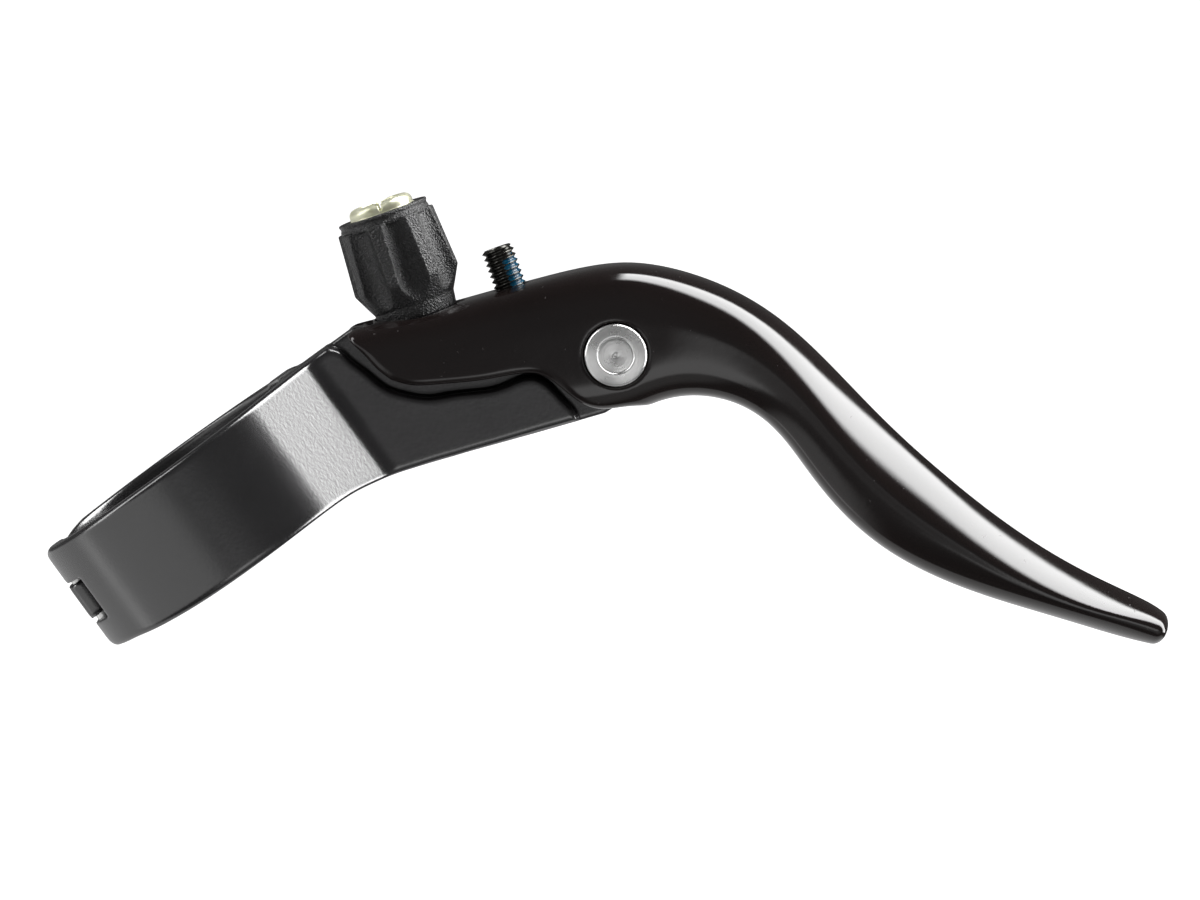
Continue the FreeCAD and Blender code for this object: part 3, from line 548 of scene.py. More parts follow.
def knob_field(h):
    g = Grid((-7.2, -7.2, -0.2), (7.2, 7.2, 14.1), h)
    r = np.sqrt(g.x * g.x + g.y * g.y)
    z = g.z
    oct_ = None
    for i in range(8):
        a = RIDGE0 + i * math.pi / 4
        d = g.x * F32(math.cos(a)) + g.y * F32(math.sin(a))
        oct_ = d if oct_ is None else np.maximum(oct_, d)
    k = (6.6 - 6.02) / (12.4 - 4.9)
    side = (oct_ - (F32(6.6) - (z - F32(4.9)) * F32(k))) / F32(math.hypot(1, k))
    # lower cone, in two slopes
    def cone(r0, h0, r1, h1):
        dr, dh = r1 - r0, h1 - h0
        L = math.hypot(dr, dh)
        return ((r - F32(r0)) * F32(dh) - (z - F32(h0)) * F32(dr)) / F32(L)
    low = np.maximum(cone(5.0, 2.1, 6.6, 4.9), F32(-99))
    neck = cone(4.75, 0.3, 5.0, 2.1)
    body = rmax(side, np.where(z < F32(2.1), np.maximum(neck, low * 0 - 99), low), 0.10)
    body = np.where(z < F32(2.1), np.maximum(body, neck), body)
    body = rmax(body, z - F32(12.55), 0.18)
    body = rmax(body, F32(0.3) - z, 0.2)
    for i in range(8):
        a = RIDGE0 + (i + 0.5) * math.pi / 4
        cx, cy = 7.45 * math.cos(a), 7.45 * math.sin(a)
        fl = np.sqrt((g.x - F32(cx)) ** 2 + (g.y - F32(cy)) ** 2) - F32(2.2)
        fl = rmax(fl, F32(0.9) - z, 1.0)
        body = rmax(body, -fl, 0.12)
    rim = rmax(r - F32(5.55), np.maximum(z - F32(13.7), F32(12.2) - z), 0.2)
    groove = np.sqrt((r - F32(5.72)) ** 2 + (z - F32(13.1)) ** 2) - F32(0.3)
    rim = rmax(rim, -groove, 0.08)
    f = np.minimum(body, rim)
    f = rmax(f, -np.maximum(r - F32(4.13), F32(2.58) - z), 0.12)
    f = np.maximum(f, -(r - F32(2.97)))
    f = np.maximum(f, -np.maximum(r - F32(4.15), z - F32(1.6)))
    return g, g.full(f)


def barrel_field(h):
    g = Grid((-4.4, -4.4, -4.8), (4.4, 4.4, 15.3), h)
    r = np.sqrt(g.x * g.x + g.y * g.y)
    z = g.z
    th = np.arctan2(g.y, g.x)
    # top edge dips on both sides of the slit
    dip = F32(0.26) * np.exp(-(g.y / F32(0.95)) ** 2)
    lobe = rmax(r - F32(3.96) + dip * F32(0.35), z - F32(15.0) + dip, 0.9)
    lobe = np.maximum(lobe, F32(13.2) - z)
    head = rmax(r - F32(4.08), np.maximum(z - F32(13.72), F32(2.62) - z), 0.2)
    # thread
    ph = z / F32(1.0) - th / F32(2 * math.pi)
    saw = np.abs((ph - np.floor(ph)) * 2 - 1)
    thr = r - (F32(2.40) + F32(0.55) * np.clip(saw * 1.35 - 0.15, 0, 1))
    thr = rmax(thr * F32(0.75), np.maximum(-F32(4.6) - z, z - F32(2.9)), 0.25)
    f = np.minimum(np.minimum(lobe, head), thr)
    f = rmax(f, -np.maximum(r - F32(2.55), F32(5.0) - z), 0.18)
    f = np.maximum(f, -(r - F32(1.0)))
    f = rmax(f, -np.maximum(np.abs(g.y) - F32(0.17), F32(13.95) - z), 0.05)
    return g, g.full(f)


# ---------------------------------------------------------------------------
# small turned pieces
# ---------------------------------------------------------------------------
def lathe(name, prof, o, ex, ey, ez, seg=96, sharp=28.0):
    """Closed solid of revolution; prof is a closed or axis-to-axis list of (radius, height)."""
    o, ex, ey, ez = (np.array(v, float) for v in (o, ex, ey, ez))
    V, Fc, rows = [], [], []
    for r, h in prof:
        if r < 1e-6:
            rows.append([len(V)])
            V.append(o + ez * h)
        else:
            rows.append(list(range(len(V), len(V) + seg)))
            for i in range(seg):
                a = 2 * math.pi * i / seg
                V.append(o + (ex * math.cos(a) + ey * math.sin(a)) * r + ez * h)
    closed = prof[0][0] > 1e-6
    n = len(prof)
    for i in range(n if closed else n - 1):
        A, B = rows[i], rows[(i + 1) % n]
        for j in range(seg):
            k = (j + 1) % seg
            if len(A) == 1 and len(B) == 1:
                continue
            if len(A) == 1:
                Fc.append((A[0], B[k], B[j]))
            elif len(B) == 1:
                Fc.append((A[j], A[k], B[0]))
            else:
                Fc.append((A[j], A[k], B[k], B[j]))
    ob = new_mesh(name, V, Fc, smooth=True)
    ob.data.set_sharp_from_angle(angle=math.radians(sharp))
    return ob


def arc(cx, cy, r, a0, a1, n=6):
    return [(cx + r * math.cos(math.radians(a)), cy + r * math.sin(math.radians(a))) for a in np.linspace(a0, a1, n)]


def thread_r(h, th, pitch, crest, root):
    ph = h / pitch - th / (2 * math.pi)
    s = abs((ph - math.floor(ph)) * 2 - 1)
    k = min(max((s - 0.14) / 0.76, 0), 1)
    return root + (crest - root) * k


def screw_mesh(name, o, ez, ex, ey, length, top_h, pitch, crest, root, hex_flat, hex_depth, step=0.05, seg=60, lead=1.0):
    """Threaded rod with chamfered ends and a hex socket in its top. Height 0 is the far end."""
    hs = np.arange(0, length + 1e-6, step)
    V, Fc, rows = [], [], []
    def ring(fn):
        row = []
        for j in range(seg):
            a = 2 * math.pi * j / seg
            r, h = fn(a)
            row.append(len(V))
            V.append(o + (ex * math.cos(a) + ey * math.sin(a)) * r + ez * h)
        rows.append(row)
    V.append(o + ez * 0.0)
    def lim(h):
        return min(1.30 + h * 1.0, root + 0.02 + (length - h) * 1.1, crest)
    ring(lambda a: (0.9, 0.0))
    for h in hs:
        ring(lambda a: (min(thread_r(h, a, pitch, crest, root), max(lim(h), 0.9)), h))
    def hexr(a):
        b = (a + math.pi / 6) % (math.pi / 3) - math.pi / 6
        return hex_flat / 2 / math.cos(b)
    ring(lambda a: (1.42, length))
    ring(lambda a: (hexr(a) + 0.08, length - 0.02))
    ring(lambda a: (hexr(a), length - 0.12))
    ring(lambda a: (hexr(a), length - hex_depth))
    c = len(V)
    V.append(o + ez * (length - hex_depth - 0.35))
    for i in range(len(rows) - 1):
        A, B = rows[i], rows[i + 1]
        for j in range(seg):
            k = (j + 1) % seg
            Fc.append((A[j], A[k], B[k], B[j]))
    for j in range(seg):
        k = (j + 1) % seg
        Fc.append((0, rows[0][k], rows[0][j]))
        Fc.append((rows[-1][j], rows[-1][k], c))
    ob = new_mesh(name, V, Fc)
    ob.data.set_sharp_from_angle(angle=math.radians(38))
    return ob


def patch_mesh(name, o, ez, ex, ey, h0, h1, a0, a1, pitch, crest, root):
    """A thin closed skin that lies over the thread flanks."""
    nh, na = 120, 40
    V, Fc = [], []
    def rad(h, a, lift):
        t = thread_r(h, a, pitch, crest, root)
        return root + (t - root) * 0.82 + lift
    for side in (0, 1):
        for i in range(nh):
            h = h0 + (h1 - h0) * i / (nh - 1)
            for j in range(na):
                u = j / (na - 1)
                v = i / (nh - 1)
                # ragged outline
                wob = 0.10 * math.sin(9.1 * v + 1.3) + 0.06 * math.sin(23.0 * v)
                a = math.radians(a0 + (a1 - a0) * u) + wob * u
                hh = h + 0.10 * math.sin(7 * u + 0.6) * (1 - 2 * v)
                e = min(u, 1 - u, v, 1 - v) * 12
                lift = 0.055 * min(1, e) if side == 0 else -0.06
                r = rad(hh, a, lift)
                V.append(o + (ex * math.cos(a) + ey * math.sin(a)) * r + ez * hh)
    def ix(s, i, j):
        return s * nh * na + i * na + j
    for i in range(nh - 1):
        for j in range(na - 1):
            Fc.append((ix(0, i, j), ix(0, i, j + 1), ix(0, i + 1, j + 1), ix(0, i + 1, j)))
            Fc.append((ix(1, i, j), ix(1, i + 1, j), ix(1, i + 1, j + 1), ix(1, i, j + 1)))
    for i in range(nh - 1):
        Fc.append((ix(0, i, 0), ix(0, i + 1, 0), ix(1, i + 1, 0), ix(1, i, 0)))
        Fc.append((ix(0, i, na - 1), ix(1, i, na - 1), ix(1, i + 1, na - 1), ix(0, i + 1, na - 1)))
    for j in range(na - 1):
        Fc.append((ix(0, 0, j), ix(1, 0, j), ix(1, 0, j + 1), ix(0, 0, j + 1)))
        Fc.append((ix(0, nh - 1, j), ix(0, nh - 1, j + 1), ix(1, nh - 1, j + 1), ix(1, nh - 1, j)))
    return new_mesh(name, V, Fc)


# ---------------------------------------------------------------------------
# materials
# ---------------------------------------------------------------------------
class Mat:
    def __init__(self, name):
        self.m = bpy.data.materials.new(name)
        self.m.use_nodes = True
        self.t = self.m.node_tree
        self.b = self.t.nodes["Principled BSDF"]
        tc = self.t.nodes.new("ShaderNodeTexCoord")
        self.co = tc.outputs["Object"]

    def n(self, kind, **kw):
        x = self.t.nodes.new(kind)
        for k, v in kw.items():
            if k.startswith("_"):
                setattr(x, k[1:], v)
            else:
                x.inputs[k.replace("__", " ")].default_value = v
        return x

    def link(self, a, b):
        self.t.links.new(a, b)

    def noise(self, scale, detail=3.0, rough=0.5, dist=0.0, vec=None):
        x = self.n("ShaderNodeTexNoise")
        x.inputs["Scale"].default_value = scale
        x.inputs["Detail"].default_value = detail
        x.inputs["Roughness"].default_value = rough
        x.inputs["Distortion"].default_value = dist
        self.link(vec or self.co, x.inputs["Vector"])
        return x.outputs["Fac"]

    def ramp(self, fac, stops):
        x = self.n("ShaderNodeValToRGB")
        el = x.color_ramp.elements
        while len(el) < len(stops):
            el.new(0.5)
        for e, (p, c) in zip(el, stops):
            e.position = p
            e.color = (c, c, c, 1) if not hasattr(c, "__len__") else tuple(c) + (1,)
        self.link(fac, x.inputs["Fac"])
        return x.outputs["Color"]

    def math(self, op, a, b=None):
        x = self.n("ShaderNodeMath", _operation=op)
        for i, v in enumerate((a, b)):
            if v is None:
                continue
            if isinstance(v, (int, float)):
                x.inputs[i].default_value = v
            else:
                self.link(v, x.inputs[i])
        return x.outputs[0]

    def maprange(self, v, a, b, c, d):
        x = self.n("ShaderNodeMapRange")
        self.link(v, x.inputs["Value"])
        for k, q in zip(("From Min", "From Max", "To Min", "To Max"), (a, b, c, d)):
            x.inputs[k].default_value = q
        return x.outputs["Result"]

    def mixc(self, fac, a, b):
        x = self.n("ShaderNodeMix", _data_type="RGBA")
        fi, ai, bi = x.inputs[0], x.inputs[6], x.inputs[7]
        if isinstance(fac, (int, float)):
            fi.default_value = fac
        else:
            self.link(fac, fi)
        for s, v in ((ai, a), (bi, b)):
            if hasattr(v, "__len__"):
                s.default_value = tuple(v) + (1,)
            else:
                self.link(v, s)
        return x.outputs[2]

    def bump(self, height, strength, dist, normal=None):
        x = self.n("ShaderNodeBump")
        x.inputs["Strength"].default_value = strength
        x.inputs["Distance"].default_value = dist
        self.link(height, x.inputs["Height"])
        if normal is not None:
            self.link(normal, x.inputs["Normal"])
        return x.outputs["Normal"]

    def put(self, sock, v):
        s = self.b.inputs[sock]
        if isinstance(v, (int, float)):
            s.default_value = v
        elif hasattr(v, "__len__"):
            s.default_value = tuple(v) + (1,) if len(v) == 3 else v
        else:
            self.link(v, s)


def mat_gloss():
    m = Mat("black_gloss")
    big = m.noise(45, 3, 0.55)
    dust = m.noise(1500, 2, 0.6)
    sparse = m.noise(260, 2, 0.5)
    speck = m.math("MULTIPLY", m.ramp(dust, [(0.0, 0.0), (0.705, 0.0), (0.735, 1.0), (1.0, 1.0)]), m.ramp(sparse, [(0.0, 0.0), (0.48, 0.0), (0.6, 1.0), (1.0, 1.0)]))
    base = m.mixc(m.ramp(big, [(0.3, 0.0), (0.7, 1.0)]), (0.0112, 0.0079, 0.0075), (0.0150, 0.0105, 0.0100))
    m.put("Base Color", m.mixc(m.math("MULTIPLY", speck, 0.22), base, (0.20, 0.19, 0.19)))
    r = m.maprange(m.noise(160, 4, 0.6), 0.3, 0.7, 0.09, 0.13)
    m.put("Roughness", m.math("ADD", r, m.math("MULTIPLY", speck, 0.25)))
    m.put("Normal", m.bump(m.noise(520, 3, 0.55), 0.02, 0.0004))
    m.put("Specular IOR Level", 0.5)
    m.put("Coat Weight", 0.2)
    m.put("Coat Roughness", 0.05)
    return m.m


def mat_satin():
    m = Mat("black_satin")
    big = m.noise(60, 3, 0.5)
    grain = m.noise(2600, 2, 0.5)
    m.put("Base Color", m.mixc(m.ramp(big, [(0.3, 0.0), (0.7, 1.0)]), (0.0110, 0.0107, 0.0115), (0.0150, 0.0145, 0.0156)))
    m.put("Roughness", m.maprange(m.math("ADD", m.math("MULTIPLY", grain, 0.5), m.math("MULTIPLY", m.noise(210, 3), 0.5)), 0.35, 0.65, 0.21, 0.26))
    m.put("Normal", m.bump(grain, 0.10, 0.00012))
    m.put("Specular IOR Level", 1.0)
    m.put("IOR", 1.64)
    return m.m


def mat_plastic():
    m = Mat("black_plastic")
    g1 = m.noise(4300, 2, 0.55)
    g2 = m.noise(1300, 3, 0.6)
    sp = m.ramp(g1, [(0.0, 0.0), (0.57, 0.0), (0.66, 1.0), (1.0, 1.0)])
    m.put("Base Color", m.mixc(sp, (0.0050, 0.0050, 0.0053), (0.026, 0.026, 0.028)))
    m.put("Roughness", m.maprange(g2, 0.3, 0.7, 0.26, 0.40))
    h = m.math("ADD", m.math("MULTIPLY", g1, 0.8), m.math("MULTIPLY", g2, 0.2))
    m.put("Normal", m.bump(h, 1.0, 0.00030))
    m.put("Specular IOR Level", 0.7)
    return m.m


def mat_steel(name="steel", turned=None, base=(0.80, 0.80, 0.79), rough=(0.20, 0.34), metal=1.0, marks=0.35):
    m = Mat(name)
    n1 = m.noise(900, 4, 0.6)
    m.put("Base Color", m.mixc(n1, tuple(0.93 * c for c in base), base))
    m.put("Metallic", metal)
    m.put("Roughness", m.maprange(m.noise(350, 4, 0.6), 0.3, 0.7, rough[0], rough[1]))
    h = m.noise(2200, 3, 0.6)
    if turned:
        mp = m.n("ShaderNodeMapping")
        mp.inputs["Location"].default_value = (-turned[0] * MM, -turned[1] * MM, 0)
        mp.inputs["Scale"].default_value = (1, 1, 0)
        m.link(m.co, mp.inputs["Vector"])
        ln = m.n("ShaderNodeVectorMath", _operation="LENGTH")
        m.link(mp.outputs["Vector"], ln.inputs[0])
        cx = m.n("ShaderNodeCombineXYZ")
        m.link(ln.outputs["Value"], cx.inputs[0])
        rings = m.noise(4200, 4, 0.75, vec=cx.outputs[0])
        h = m.math("ADD", m.math("MULTIPLY", rings, 0.8), m.math("MULTIPLY", h, 0.2))
    m.put("Normal", m.bump(h, marks, 0.00006))
    return m.m


def mat_black_steel():
    m = Mat("black_steel")
    n1 = m.noise(1400, 3, 0.6)
    m.put("Base Color", m.mixc(n1, (0.030, 0.030, 0.028), (0.100, 0.098, 0.088)))
    m.put("Metallic", 0.8)
    m.put("Roughness", m.maprange(m.noise(800, 3), 0.3, 0.7, 0.16, 0.28))
    m.put("Normal", m.bump(n1, 0.15, 0.00006))
    m.put("Specular IOR Level", 0.6)
    return m.m


def mat_yellow():
    m = Mat("yellow_zinc")
    n1 = m.noise(420, 3, 0.6)
    m.put("Base Color", m.mixc(m.ramp(n1, [(0.35, 0.0), (0.65, 1.0)]), (0.76, 0.76, 0.52), (0.90, 0.90, 0.72)))
    m.put("Metallic", 0.55)
    m.put("Roughness", m.maprange(m.noise(900, 3), 0.3, 0.7, 0.32, 0.44))
    m.put("Normal", m.bump(m.noise(1600, 3), 0.15, 0.00006))
    return m.m


def mat_blue():
    m = Mat("blue_nylon")
    n1 = m.noise(2600, 3, 0.6)
    m.put("Base Color", m.mixc(m.ramp(n1, [(0.35, 0.0), (0.65, 1.0)]), (0.001, 0.040, 0.100), (0.003, 0.140, 0.250)))
    m.put("Roughness", m.maprange(n1, 0.3, 0.7, 0.14, 0.30))
    m.put("Normal", m.bump(n1, 0.6, 0.00012))
    m.put("Specular IOR Level", 0.7)
    return m.m


def mat_simple(name, c0, c1, rough, metal=0.0, scale=900.0):
    m = Mat(name)
    n1 = m.noise(scale, 3, 0.6)
    m.put("Base Color", m.mixc(n1, c0, c1))
    m.put("Metallic", metal)
    m.put("Roughness", m.maprange(m.noise(scale * 0.4, 3), 0.3, 0.7, rough[0], rough[1]))
    m.put("Normal", m.bump(n1, 0.2, 0.00008))
    return m.m


MATS = {
    "black_gloss": mat_gloss(), "black_satin": mat_satin(), "black_plastic": mat_plastic(),
    "steel": mat_steel(), "black_steel": mat_black_steel(), "yellow_zinc": mat_yellow(), "blue_nylon": mat_blue(),
    "bronze": mat_simple("bronze", (0.42, 0.27, 0.12), (0.58, 0.40, 0.20), (0.35, 0.5), 1.0),
    "nylon": mat_simple("nylon", (0.03, 0.03, 0.03), (0.05, 0.05, 0.05), (0.4, 0.55)),
    "rubber": mat_simple("rubber", (0.010, 0.010, 0.010), (0.018, 0.018, 0.018), (0.55, 0.7)),
}
PIN_MAT = mat_steel("steel_turned", (PX, PY), (0.93, 0.93, 0.92), (0.24, 0.36), 0.85, 1.0)


def place(ob, body, nodes, slot, mat=None):
    ob.data.materials.clear()
    ob.data.materials.append(mat or MATS[slot])
    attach(ob, body)
    if nodes:
        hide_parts(*nodes)
    return ob


# ---------------------------------------------------------------------------
# build the pieces
# ---------------------------------------------------------------------------
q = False
g, f = lever_field(0.34 if q else 0.26)
place(field_piece("lever_body", g, f), "lever", ["lever_blade"], "black_gloss")
g, f = bracket_field(0.30 if q else 0.23)
place(field_piece("bracket_body", g, f), "bracket", ["bracket"], "black_satin")
g, f = cap_field(0.30 if q else 0.23)
place(field_piece("clamp_cap_body", g, f), "cap", ["clamp_cap"], "black_satin")
g, f = knob_field(0.14 if q else 0.095)
place(field_piece("adjuster_knob_body", g, f, LOCAL), "adjuster", ["adjuster_knob"], "black_plastic")
g, f = barrel_field(0.12 if q else 0.085)
place(field_piece("adjuster_barrel_body", g, f, LOCAL), "adjuster", ["adjuster_barrel"], "yellow_zinc")
del g, f

# pivot pin: domed head with a recessed centre, shaft, tapped end
top = CHEEK - 0.5
pin = [(0.0, top + 0.66), (0.20, top + 0.70), (0.34, top + 0.84), (0.50, top + 0.90), (1.88, top + 0.90), (1.96, top + 0.88),
       (2.06, top + 0.84), (2.14, top + 0.87), (2.24, top + 0.98), (2.36, top + 1.01), (2.52, top + 0.985), (3.40, top + 0.80), (3.55, top + 0.74),
       (3.68, top + 0.62), (3.74, top + 0.50), (3.75, top + 0.35), (3.75, top + 0.02), (2.48, top + 0.0),
       (2.48, -7.55), (2.30, -7.73), (1.62, -7.73), (1.62, -0.5), (0.0, -0.1)]
ob = lathe("pivot_pin_body", pin, (PX, PY, 0), (1, 0, 0), (0, 1, 0), (0, 0, 1), seg=128)
place(ob, "lever", ["pivot_pin"], "steel", PIN_MAT)

# retaining washer and button screw on the far side
rz = -CHEEK + 0.5
prof = [(1.62, rz - 0.02), (3.3, rz - 0.02), (3.4, rz - 0.12), (3.4, rz - 0.5), (3.3, rz - 0.6), (1.72, rz - 0.6), (1.62, rz - 0.5)]
ob = lathe("pivot_retaining_washer_body", prof, (PX, PY, 0), (1, 0, 0), (0, -1, 0), (0, 0, 1), seg=96)
place(ob, "lever", ["pivot_retaining_washer"], "steel")


def button_screw(name, o, ez, ex, ey, head, shaft_r, shaft_len, hexf, hexd, crest, root, pitch, seg=60):
    """Head profile is (radius, height) from the bearing face outward; the shaft is threaded."""
    V, Fc, rows = [], [], []
    def ring(fn):
        row = []
        for j in range(seg):
            a = 2 * math.pi * j / seg
            r, h = fn(a)
            row.append(len(V))
            V.append(o + (ex * math.cos(a) + ey * math.sin(a)) * r + ez * h)
        rows.append(row)
    def hexr(a):
        b = (a + math.pi / 6) % (math.pi / 3) - math.pi / 6
        return hexf / 2 / math.cos(b)
    V.append(o - ez * shaft_len)
    ring(lambda a: (root * 0.8, -shaft_len))
    h = -shaft_len
    while h < -0.35:
        ring(lambda a: (min(thread_r(h, a, pitch, crest, root), root * 0.8 + (h + shaft_len) * 1.0), h))
        h += pitch / 10
    ring(lambda a: (root, -0.3))
    ring(lambda a: (root, 0.0))
    for r, hh in head:
        ring(lambda a: (r, hh))
    H = head[-1][1]
    ring(lambda a: (hexr(a) + 0.12, H - 0.01))
    ring(lambda a: (hexr(a), H - 0.12))
    ring(lambda a: (hexr(a), H - hexd))
    c = len(V)
    V.append(o + ez * (H - hexd - 0.4))
    for i in range(len(rows) - 1):
        A, B = rows[i], rows[i + 1]
        for j in range(seg):
            k = (j + 1) % seg
            Fc.append((A[j], A[k], B[k], B[j]))
    for j in range(seg):
        k = (j + 1) % seg
        Fc.append((0, rows[0][k], rows[0][j]))
        Fc.append((rows[-1][j], rows[-1][k], c))
    ob = new_mesh(name, V, Fc)
    ob.data.set_sharp_from_angle(angle=math.radians(38))
    return ob


X3, Y3, Z3 = np.eye(3)
head = [(2.6, 0.0), (2.75, 0.12), (2.72, 0.5)] + [(2.75 * math.cos(a) + 0.0, 0.5 + 1.1 * math.sin(a)) for a in np.linspace(0.12, 0.92, 7)]
head += [(1.5, 1.62)]
ob = button_screw("pivot_retaining_screw_body", np.array((PX, PY, rz - 0.6)), -Z3, X3, -Y3, head, 1.5, 5.9, 2.0, 1.1, 1.48, 1.2, 0.5)
place(ob, "lever", ["pivot_retaining_screw"], "steel")

# clamp bolt
HB = -7.92
head = [(2.9, 0.0), (4.05, 0.0), (4.2, 0.15), (4.25, 0.35)]
head += [(4.25, 4.3), (4.18, 4.62), (3.98, 4.86), (3.7, 5.0), (2.75, 5.0)]
ob = button_screw("clamp_bolt_body", np.array((0, 22.2, HB)), -Z3, X3, -Y3, head, 2.5, 14.0, 4.0, 2.8, 2.48, 2.08, 0.8, seg=72)
place(ob, "bolt", ["clamp_bolt"], "black_steel")
wz = -7.1
prof = [(2.62, wz), (4.5, wz), (4.6, wz - 0.1), (4.6, wz - 0.7), (4.5, wz - 0.8), (2.72, wz - 0.8), (2.62, wz - 0.7)]
ob = lathe("clamp_bolt_washer_body", prof, (0, 22.2, 0), (1, 0, 0), (0, -1, 0), (0, 0, 1), seg=96)
place(ob, "bolt_washer", ["clamp_bolt_washer"], "black_steel")

# hinge pin with domed ends
prof = [(0.0, -6.9), (0.4, -6.87), (0.7, -6.72), (PIN_R - 0.02, -6.5), (PIN_R - 0.02, 5.5), (0.7, 5.72), (0.4, 5.87), (0.0, 5.9)]
ob = lathe("clamp_hinge_pin_body", [p for p in prof], (0, HINGE_Y, 0), (0, 1, 0), (0, 0, 1), (1, 0, 0), seg=48)
place(ob, "bracket", ["clamp_hinge_pin"], "steel")

# adjuster O-ring
prof = [(3.56 + 0.55 * math.cos(a), 0.61 + 0.55 * math.sin(a)) for a in np.linspace(0, 2 * math.pi, 24, endpoint=False)]
ob = lathe("adjuster_oring_body", prof, SEAT, SD, np.cross(AX, SD), AX, seg=96, sharp=80)
place(ob, "adjuster_ring", ["adjuster_oring"], "rubber")

# housing stop sleeve
sf = SEAT - AX * 8.35
prof = [(1.0, 0.02), (3.27, 0.02), (3.27, 6.85), (3.15, 7.0), (2.68, 7.0), (2.55, 6.85), (2.55, 0.8), (1.0, 0.8)]
ob = lathe("housing_stop_sleeve_body", prof, sf, SD, np.cross(-AX, SD), -AX, seg=96)
place(ob, "bracket", ["housing_stop_sleeve"], "steel")

# reach screw and its patch
o = RX + AX * (5.25 - 14.0)
EY = np.cross(AX, SD)
ob = screw_mesh("reach_screw_body", o, AX, SD, EY, 14.0, 14.0, 0.7, 1.95, 1.58, 2.0, 2.2)
place(ob, "reach_screw", ["reach_screw"], "black_steel")
sgn = 1.0 if EY[2] > 0 else -1.0
ob = patch_mesh("reach_screw_lock_patch_body", o, AX, SD, EY, 8.75 - 1.6, 8.75 + 4.05, min(-22 * sgn, 88 * sgn), max(-22 * sgn, 88 * sgn), 0.7, 1.95, 1.58)
place(ob, "reach_screw", ["reach_screw_lock_patch"], "blue_nylon")

# bush and thrust washers
prof = [(2.54, -3.8), (3.15, -3.8), (3.24, -3.7), (3.24, 3.7), (3.15, 3.8), (2.54, 3.8)]
ob = lathe("pivot_bush_body", prof, (PX, PY, 0), (1, 0, 0), (0, 1, 0), (0, 0, 1), seg=96)
place(ob, "bracket", ["pivot_bush"], "bronze")
for nm, z0 in (("thrust_washer_upper", 3.8), ("thrust_washer_lower", -4.55)):
    prof = [(2.6, z0 + 0.02), (4.6, z0 + 0.02), (4.7, z0 + 0.12), (4.7, z0 + 0.63), (4.6, z0 + 0.73), (2.6, z0 + 0.73)]
    ob = lathe(nm + "_body", prof, (PX, PY, 0), (1, 0, 0), (0, 1, 0), (0, 0, 1), seg=96)
    place(ob, "bracket", [nm], "nylon")

for name, node in frame["nodes"].items():
    s = next((p["material_slot"] for p in frame["record"]["subparts"] if p["node"] == name), "steel")
    node.data.materials.clear()
    node.data.materials.append(MATS[s])

# ---------------------------------------------------------------------------
# floor, light, camera
# ---------------------------------------------------------------------------
bpy.ops.mesh.primitive_plane_add(size=6.0, location=(0.02, 0.04, cad_lo[2] - 0.0002))
floor = bpy.context.object
floor.name = "floor"
fm = bpy.data.materials.new("floor")
fm.use_nodes = True
fb = fm.node_tree.nodes["Principled BSDF"]
fb.inputs["Base Color"].default_value = (0.80, 0.80, 0.80, 1)
fb.inputs["Emission Color"].default_value = (1, 1, 1, 1)
fb.inputs["Emission Strength"].default_value = 1.0
fb.inputs["Roughness"].default_value = 0.9
fb.inputs["Specular IOR Level"].default_value = 0.1
floor.data.materials.append(fm)
floor.visible_glossy = False

RIGHT_V = np.array((0.59, 0.81, 0.0)) / math.hypot(0.59, 0.81)
UP_V = np.array((-0.81, 0.59, 0.0)) / math.hypot(0.59, 0.81)
TARGET = np.array((21.85, 42.3, 0.0)) * MM
TILT = math.radians(3.9)
DIST = 2.0
view_dir = math.cos(TILT) * ZZ + math.sin(TILT) * UP_V
cam_data = bpy.data.cameras.new("camera")
cam = bpy.data.objects.new("camera", cam_data)
bpy.context.scene.collection.objects.link(cam)
cam.location = Vector(TARGET + view_dir * DIST)
bk = view_dir
cx = RIGHT_V
cy = np.cross(bk, cx)
from mathutils import Matrix
cam.matrix_world = Matrix(((cx[0], cy[0], bk[0], cam.location[0]), (cx[1], cy[1], bk[1], cam.location[1]),
                           (cx[2], cy[2], bk[2], cam.location[2]), (0, 0, 0, 1)))
cam_data.sensor_width = 36.0
cam_data.lens = 36.0 * DIST / 0.144
cam_data.clip_start = 0.05
cam_data.clip_end = 50
bpy.context.scene.camera = cam


# the studio: softboxes and dark flags painted in directions around the part
w = bpy.data.worlds.new("world")
bpy.context.scene.world = w
w.use_nodes = True
nt = w.node_tree
bg = nt.nodes["Background"]
tc = nt.nodes.new("ShaderNodeTexCoord")


def wmath(op, a, b=None):
    x = nt.nodes.new("ShaderNodeMath")
    x.operation = op
    for i, v in enumerate((a, b)):
        if v is None:
            continue
        if isinstance(v, (int, float)):
            x.inputs[i].default_value = v
        else:
            nt.links.new(v, x.inputs[i])
    return x.outputs[0]


def wdot(v):
    x = nt.nodes.new("ShaderNodeVectorMath")
    x.operation = "DOT_PRODUCT"
    nt.links.new(tc.outputs["Generated"], x.inputs[0])
    x.inputs[1].default_value = tuple(float(c) for c in v)
    return x.outputs["Value"]


def step(v, a, b):
    """Smooth step, 0 at a and 1 at b, in degrees."""
    x = nt.nodes.new("ShaderNodeMapRange")
    x.interpolation_type = "SMOOTHSTEP"
    nt.links.new(v, x.inputs["Value"])
    x.inputs["From Min"].default_value = a
    x.inputs["From Max"].default_value = b
    x.inputs["To Min"].default_value = 0.0
    x.inputs["To Max"].default_value = 1.0
    return x.outputs["Result"]


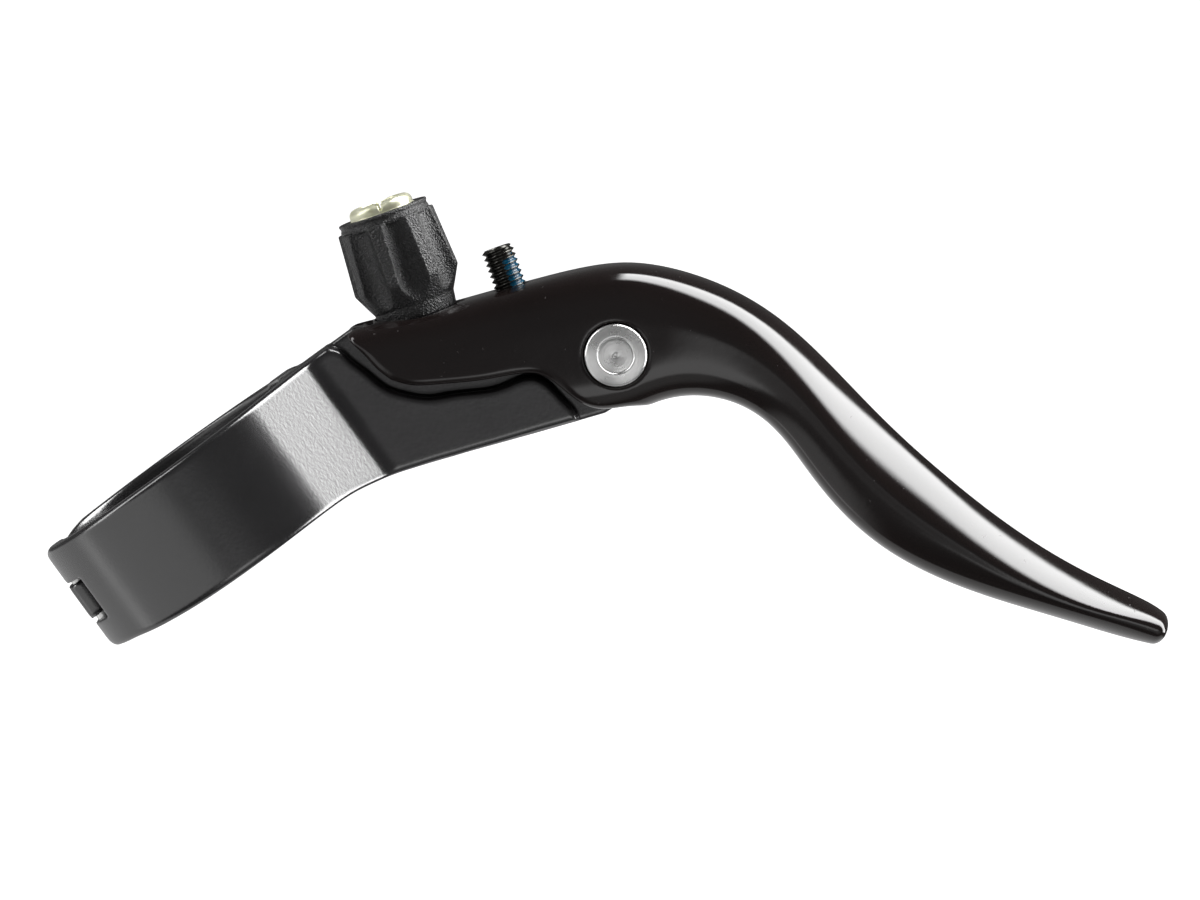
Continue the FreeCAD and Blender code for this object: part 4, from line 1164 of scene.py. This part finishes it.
DEG = 180.0 / math.pi
du, dr, dz = wdot(UP_V), wdot(RIGHT_V), wdot(ZZ)
elev = wmath("MULTIPLY", wmath("ARCSINE", dz), DEG)
azim = wmath("MULTIPLY", wmath("ARCTAN2", dr, du), DEG)                  # 0 = up the frame, 90 = right
back = wmath("MULTIPLY", wmath("ARCTAN2", wmath("MULTIPLY", dr, -1.0), wmath("MULTIPLY", du, -1.0)), DEG)  # 0 = down the frame


def window(v, a0, a1, b0, b1):
    return wmath("MULTIPLY", step(v, a0, a1), wmath("SUBTRACT", 1.0, step(v, b0, b1)))


def softbox(gain, az, a, e):
    return wmath("MULTIPLY", wmath("MULTIPLY", window(az, *a), window(elev, *e)), gain)


SOFT = [
    (12.0, azim, (0, 5, 108, 114), (-26, -20, 2, 14)),            # low white wall from above the frame round to the right
    (4.5, azim, (-98, -86, -38, -32), (-8, -2, 10, 18)),          # low strip to the upper left
    (0.62, back, (28, 42, 84, 104), (-6, -1, 68, 86)),            # soft fill from below the frame
    (0.95, back, (-95, -75, -4, 14), (56, 62, 74, 81)),           # small high panel below the frame
    (0.7, back, (32, 42, 80, 100), (-9, -4, 0, 5)),               # line along the horizon there
    (0.3, back, (-85, -50, -12, 6), (15, 45, 80, 92)),            # faint fill to the lower right
    (0.55, back, (-45, -30, 75, 95), (-100, -99, -6, -1)),        # table's bounce
]
total = None
for b_ in SOFT:
    v = softbox(*b_)
    total = v if total is None else wmath("ADD", total, v)
rp = nt.nodes.new("ShaderNodeValToRGB")
el = rp.color_ramp.elements
el[0].position, el[0].color = 0.0, (0.10, 0.10, 0.10, 1)
el[1].position, el[1].color = 1.0, (0.15, 0.15, 0.152, 1)
for p_, c_ in ((0.52, 0.07), (0.80, 0.07), (0.95, 0.11)):
    e2 = el.new(p_)
    e2.color = (c_, c_, c_, 1)
nt.links.new(wmath("ADD", wmath("MULTIPLY", dz, 0.5), 0.5), rp.inputs["Fac"])
grey = nt.nodes.new("ShaderNodeCombineColor")
for i in range(3):
    nt.links.new(total, grey.inputs[i])
mix = nt.nodes.new("ShaderNodeVectorMath")
mix.operation = "ADD"
nt.links.new(rp.outputs["Color"], mix.inputs[0])
nt.links.new(grey.outputs["Color"], mix.inputs[1])
nt.links.new(mix.outputs["Vector"], bg.inputs["Color"])
bg.inputs["Strength"].default_value = 1.0

sc = bpy.context.scene
sc.view_settings.view_transform = "Standard"
sc.view_settings.look = "None"
sc.view_settings.exposure = 0.0
sc.view_settings.gamma = 1.0
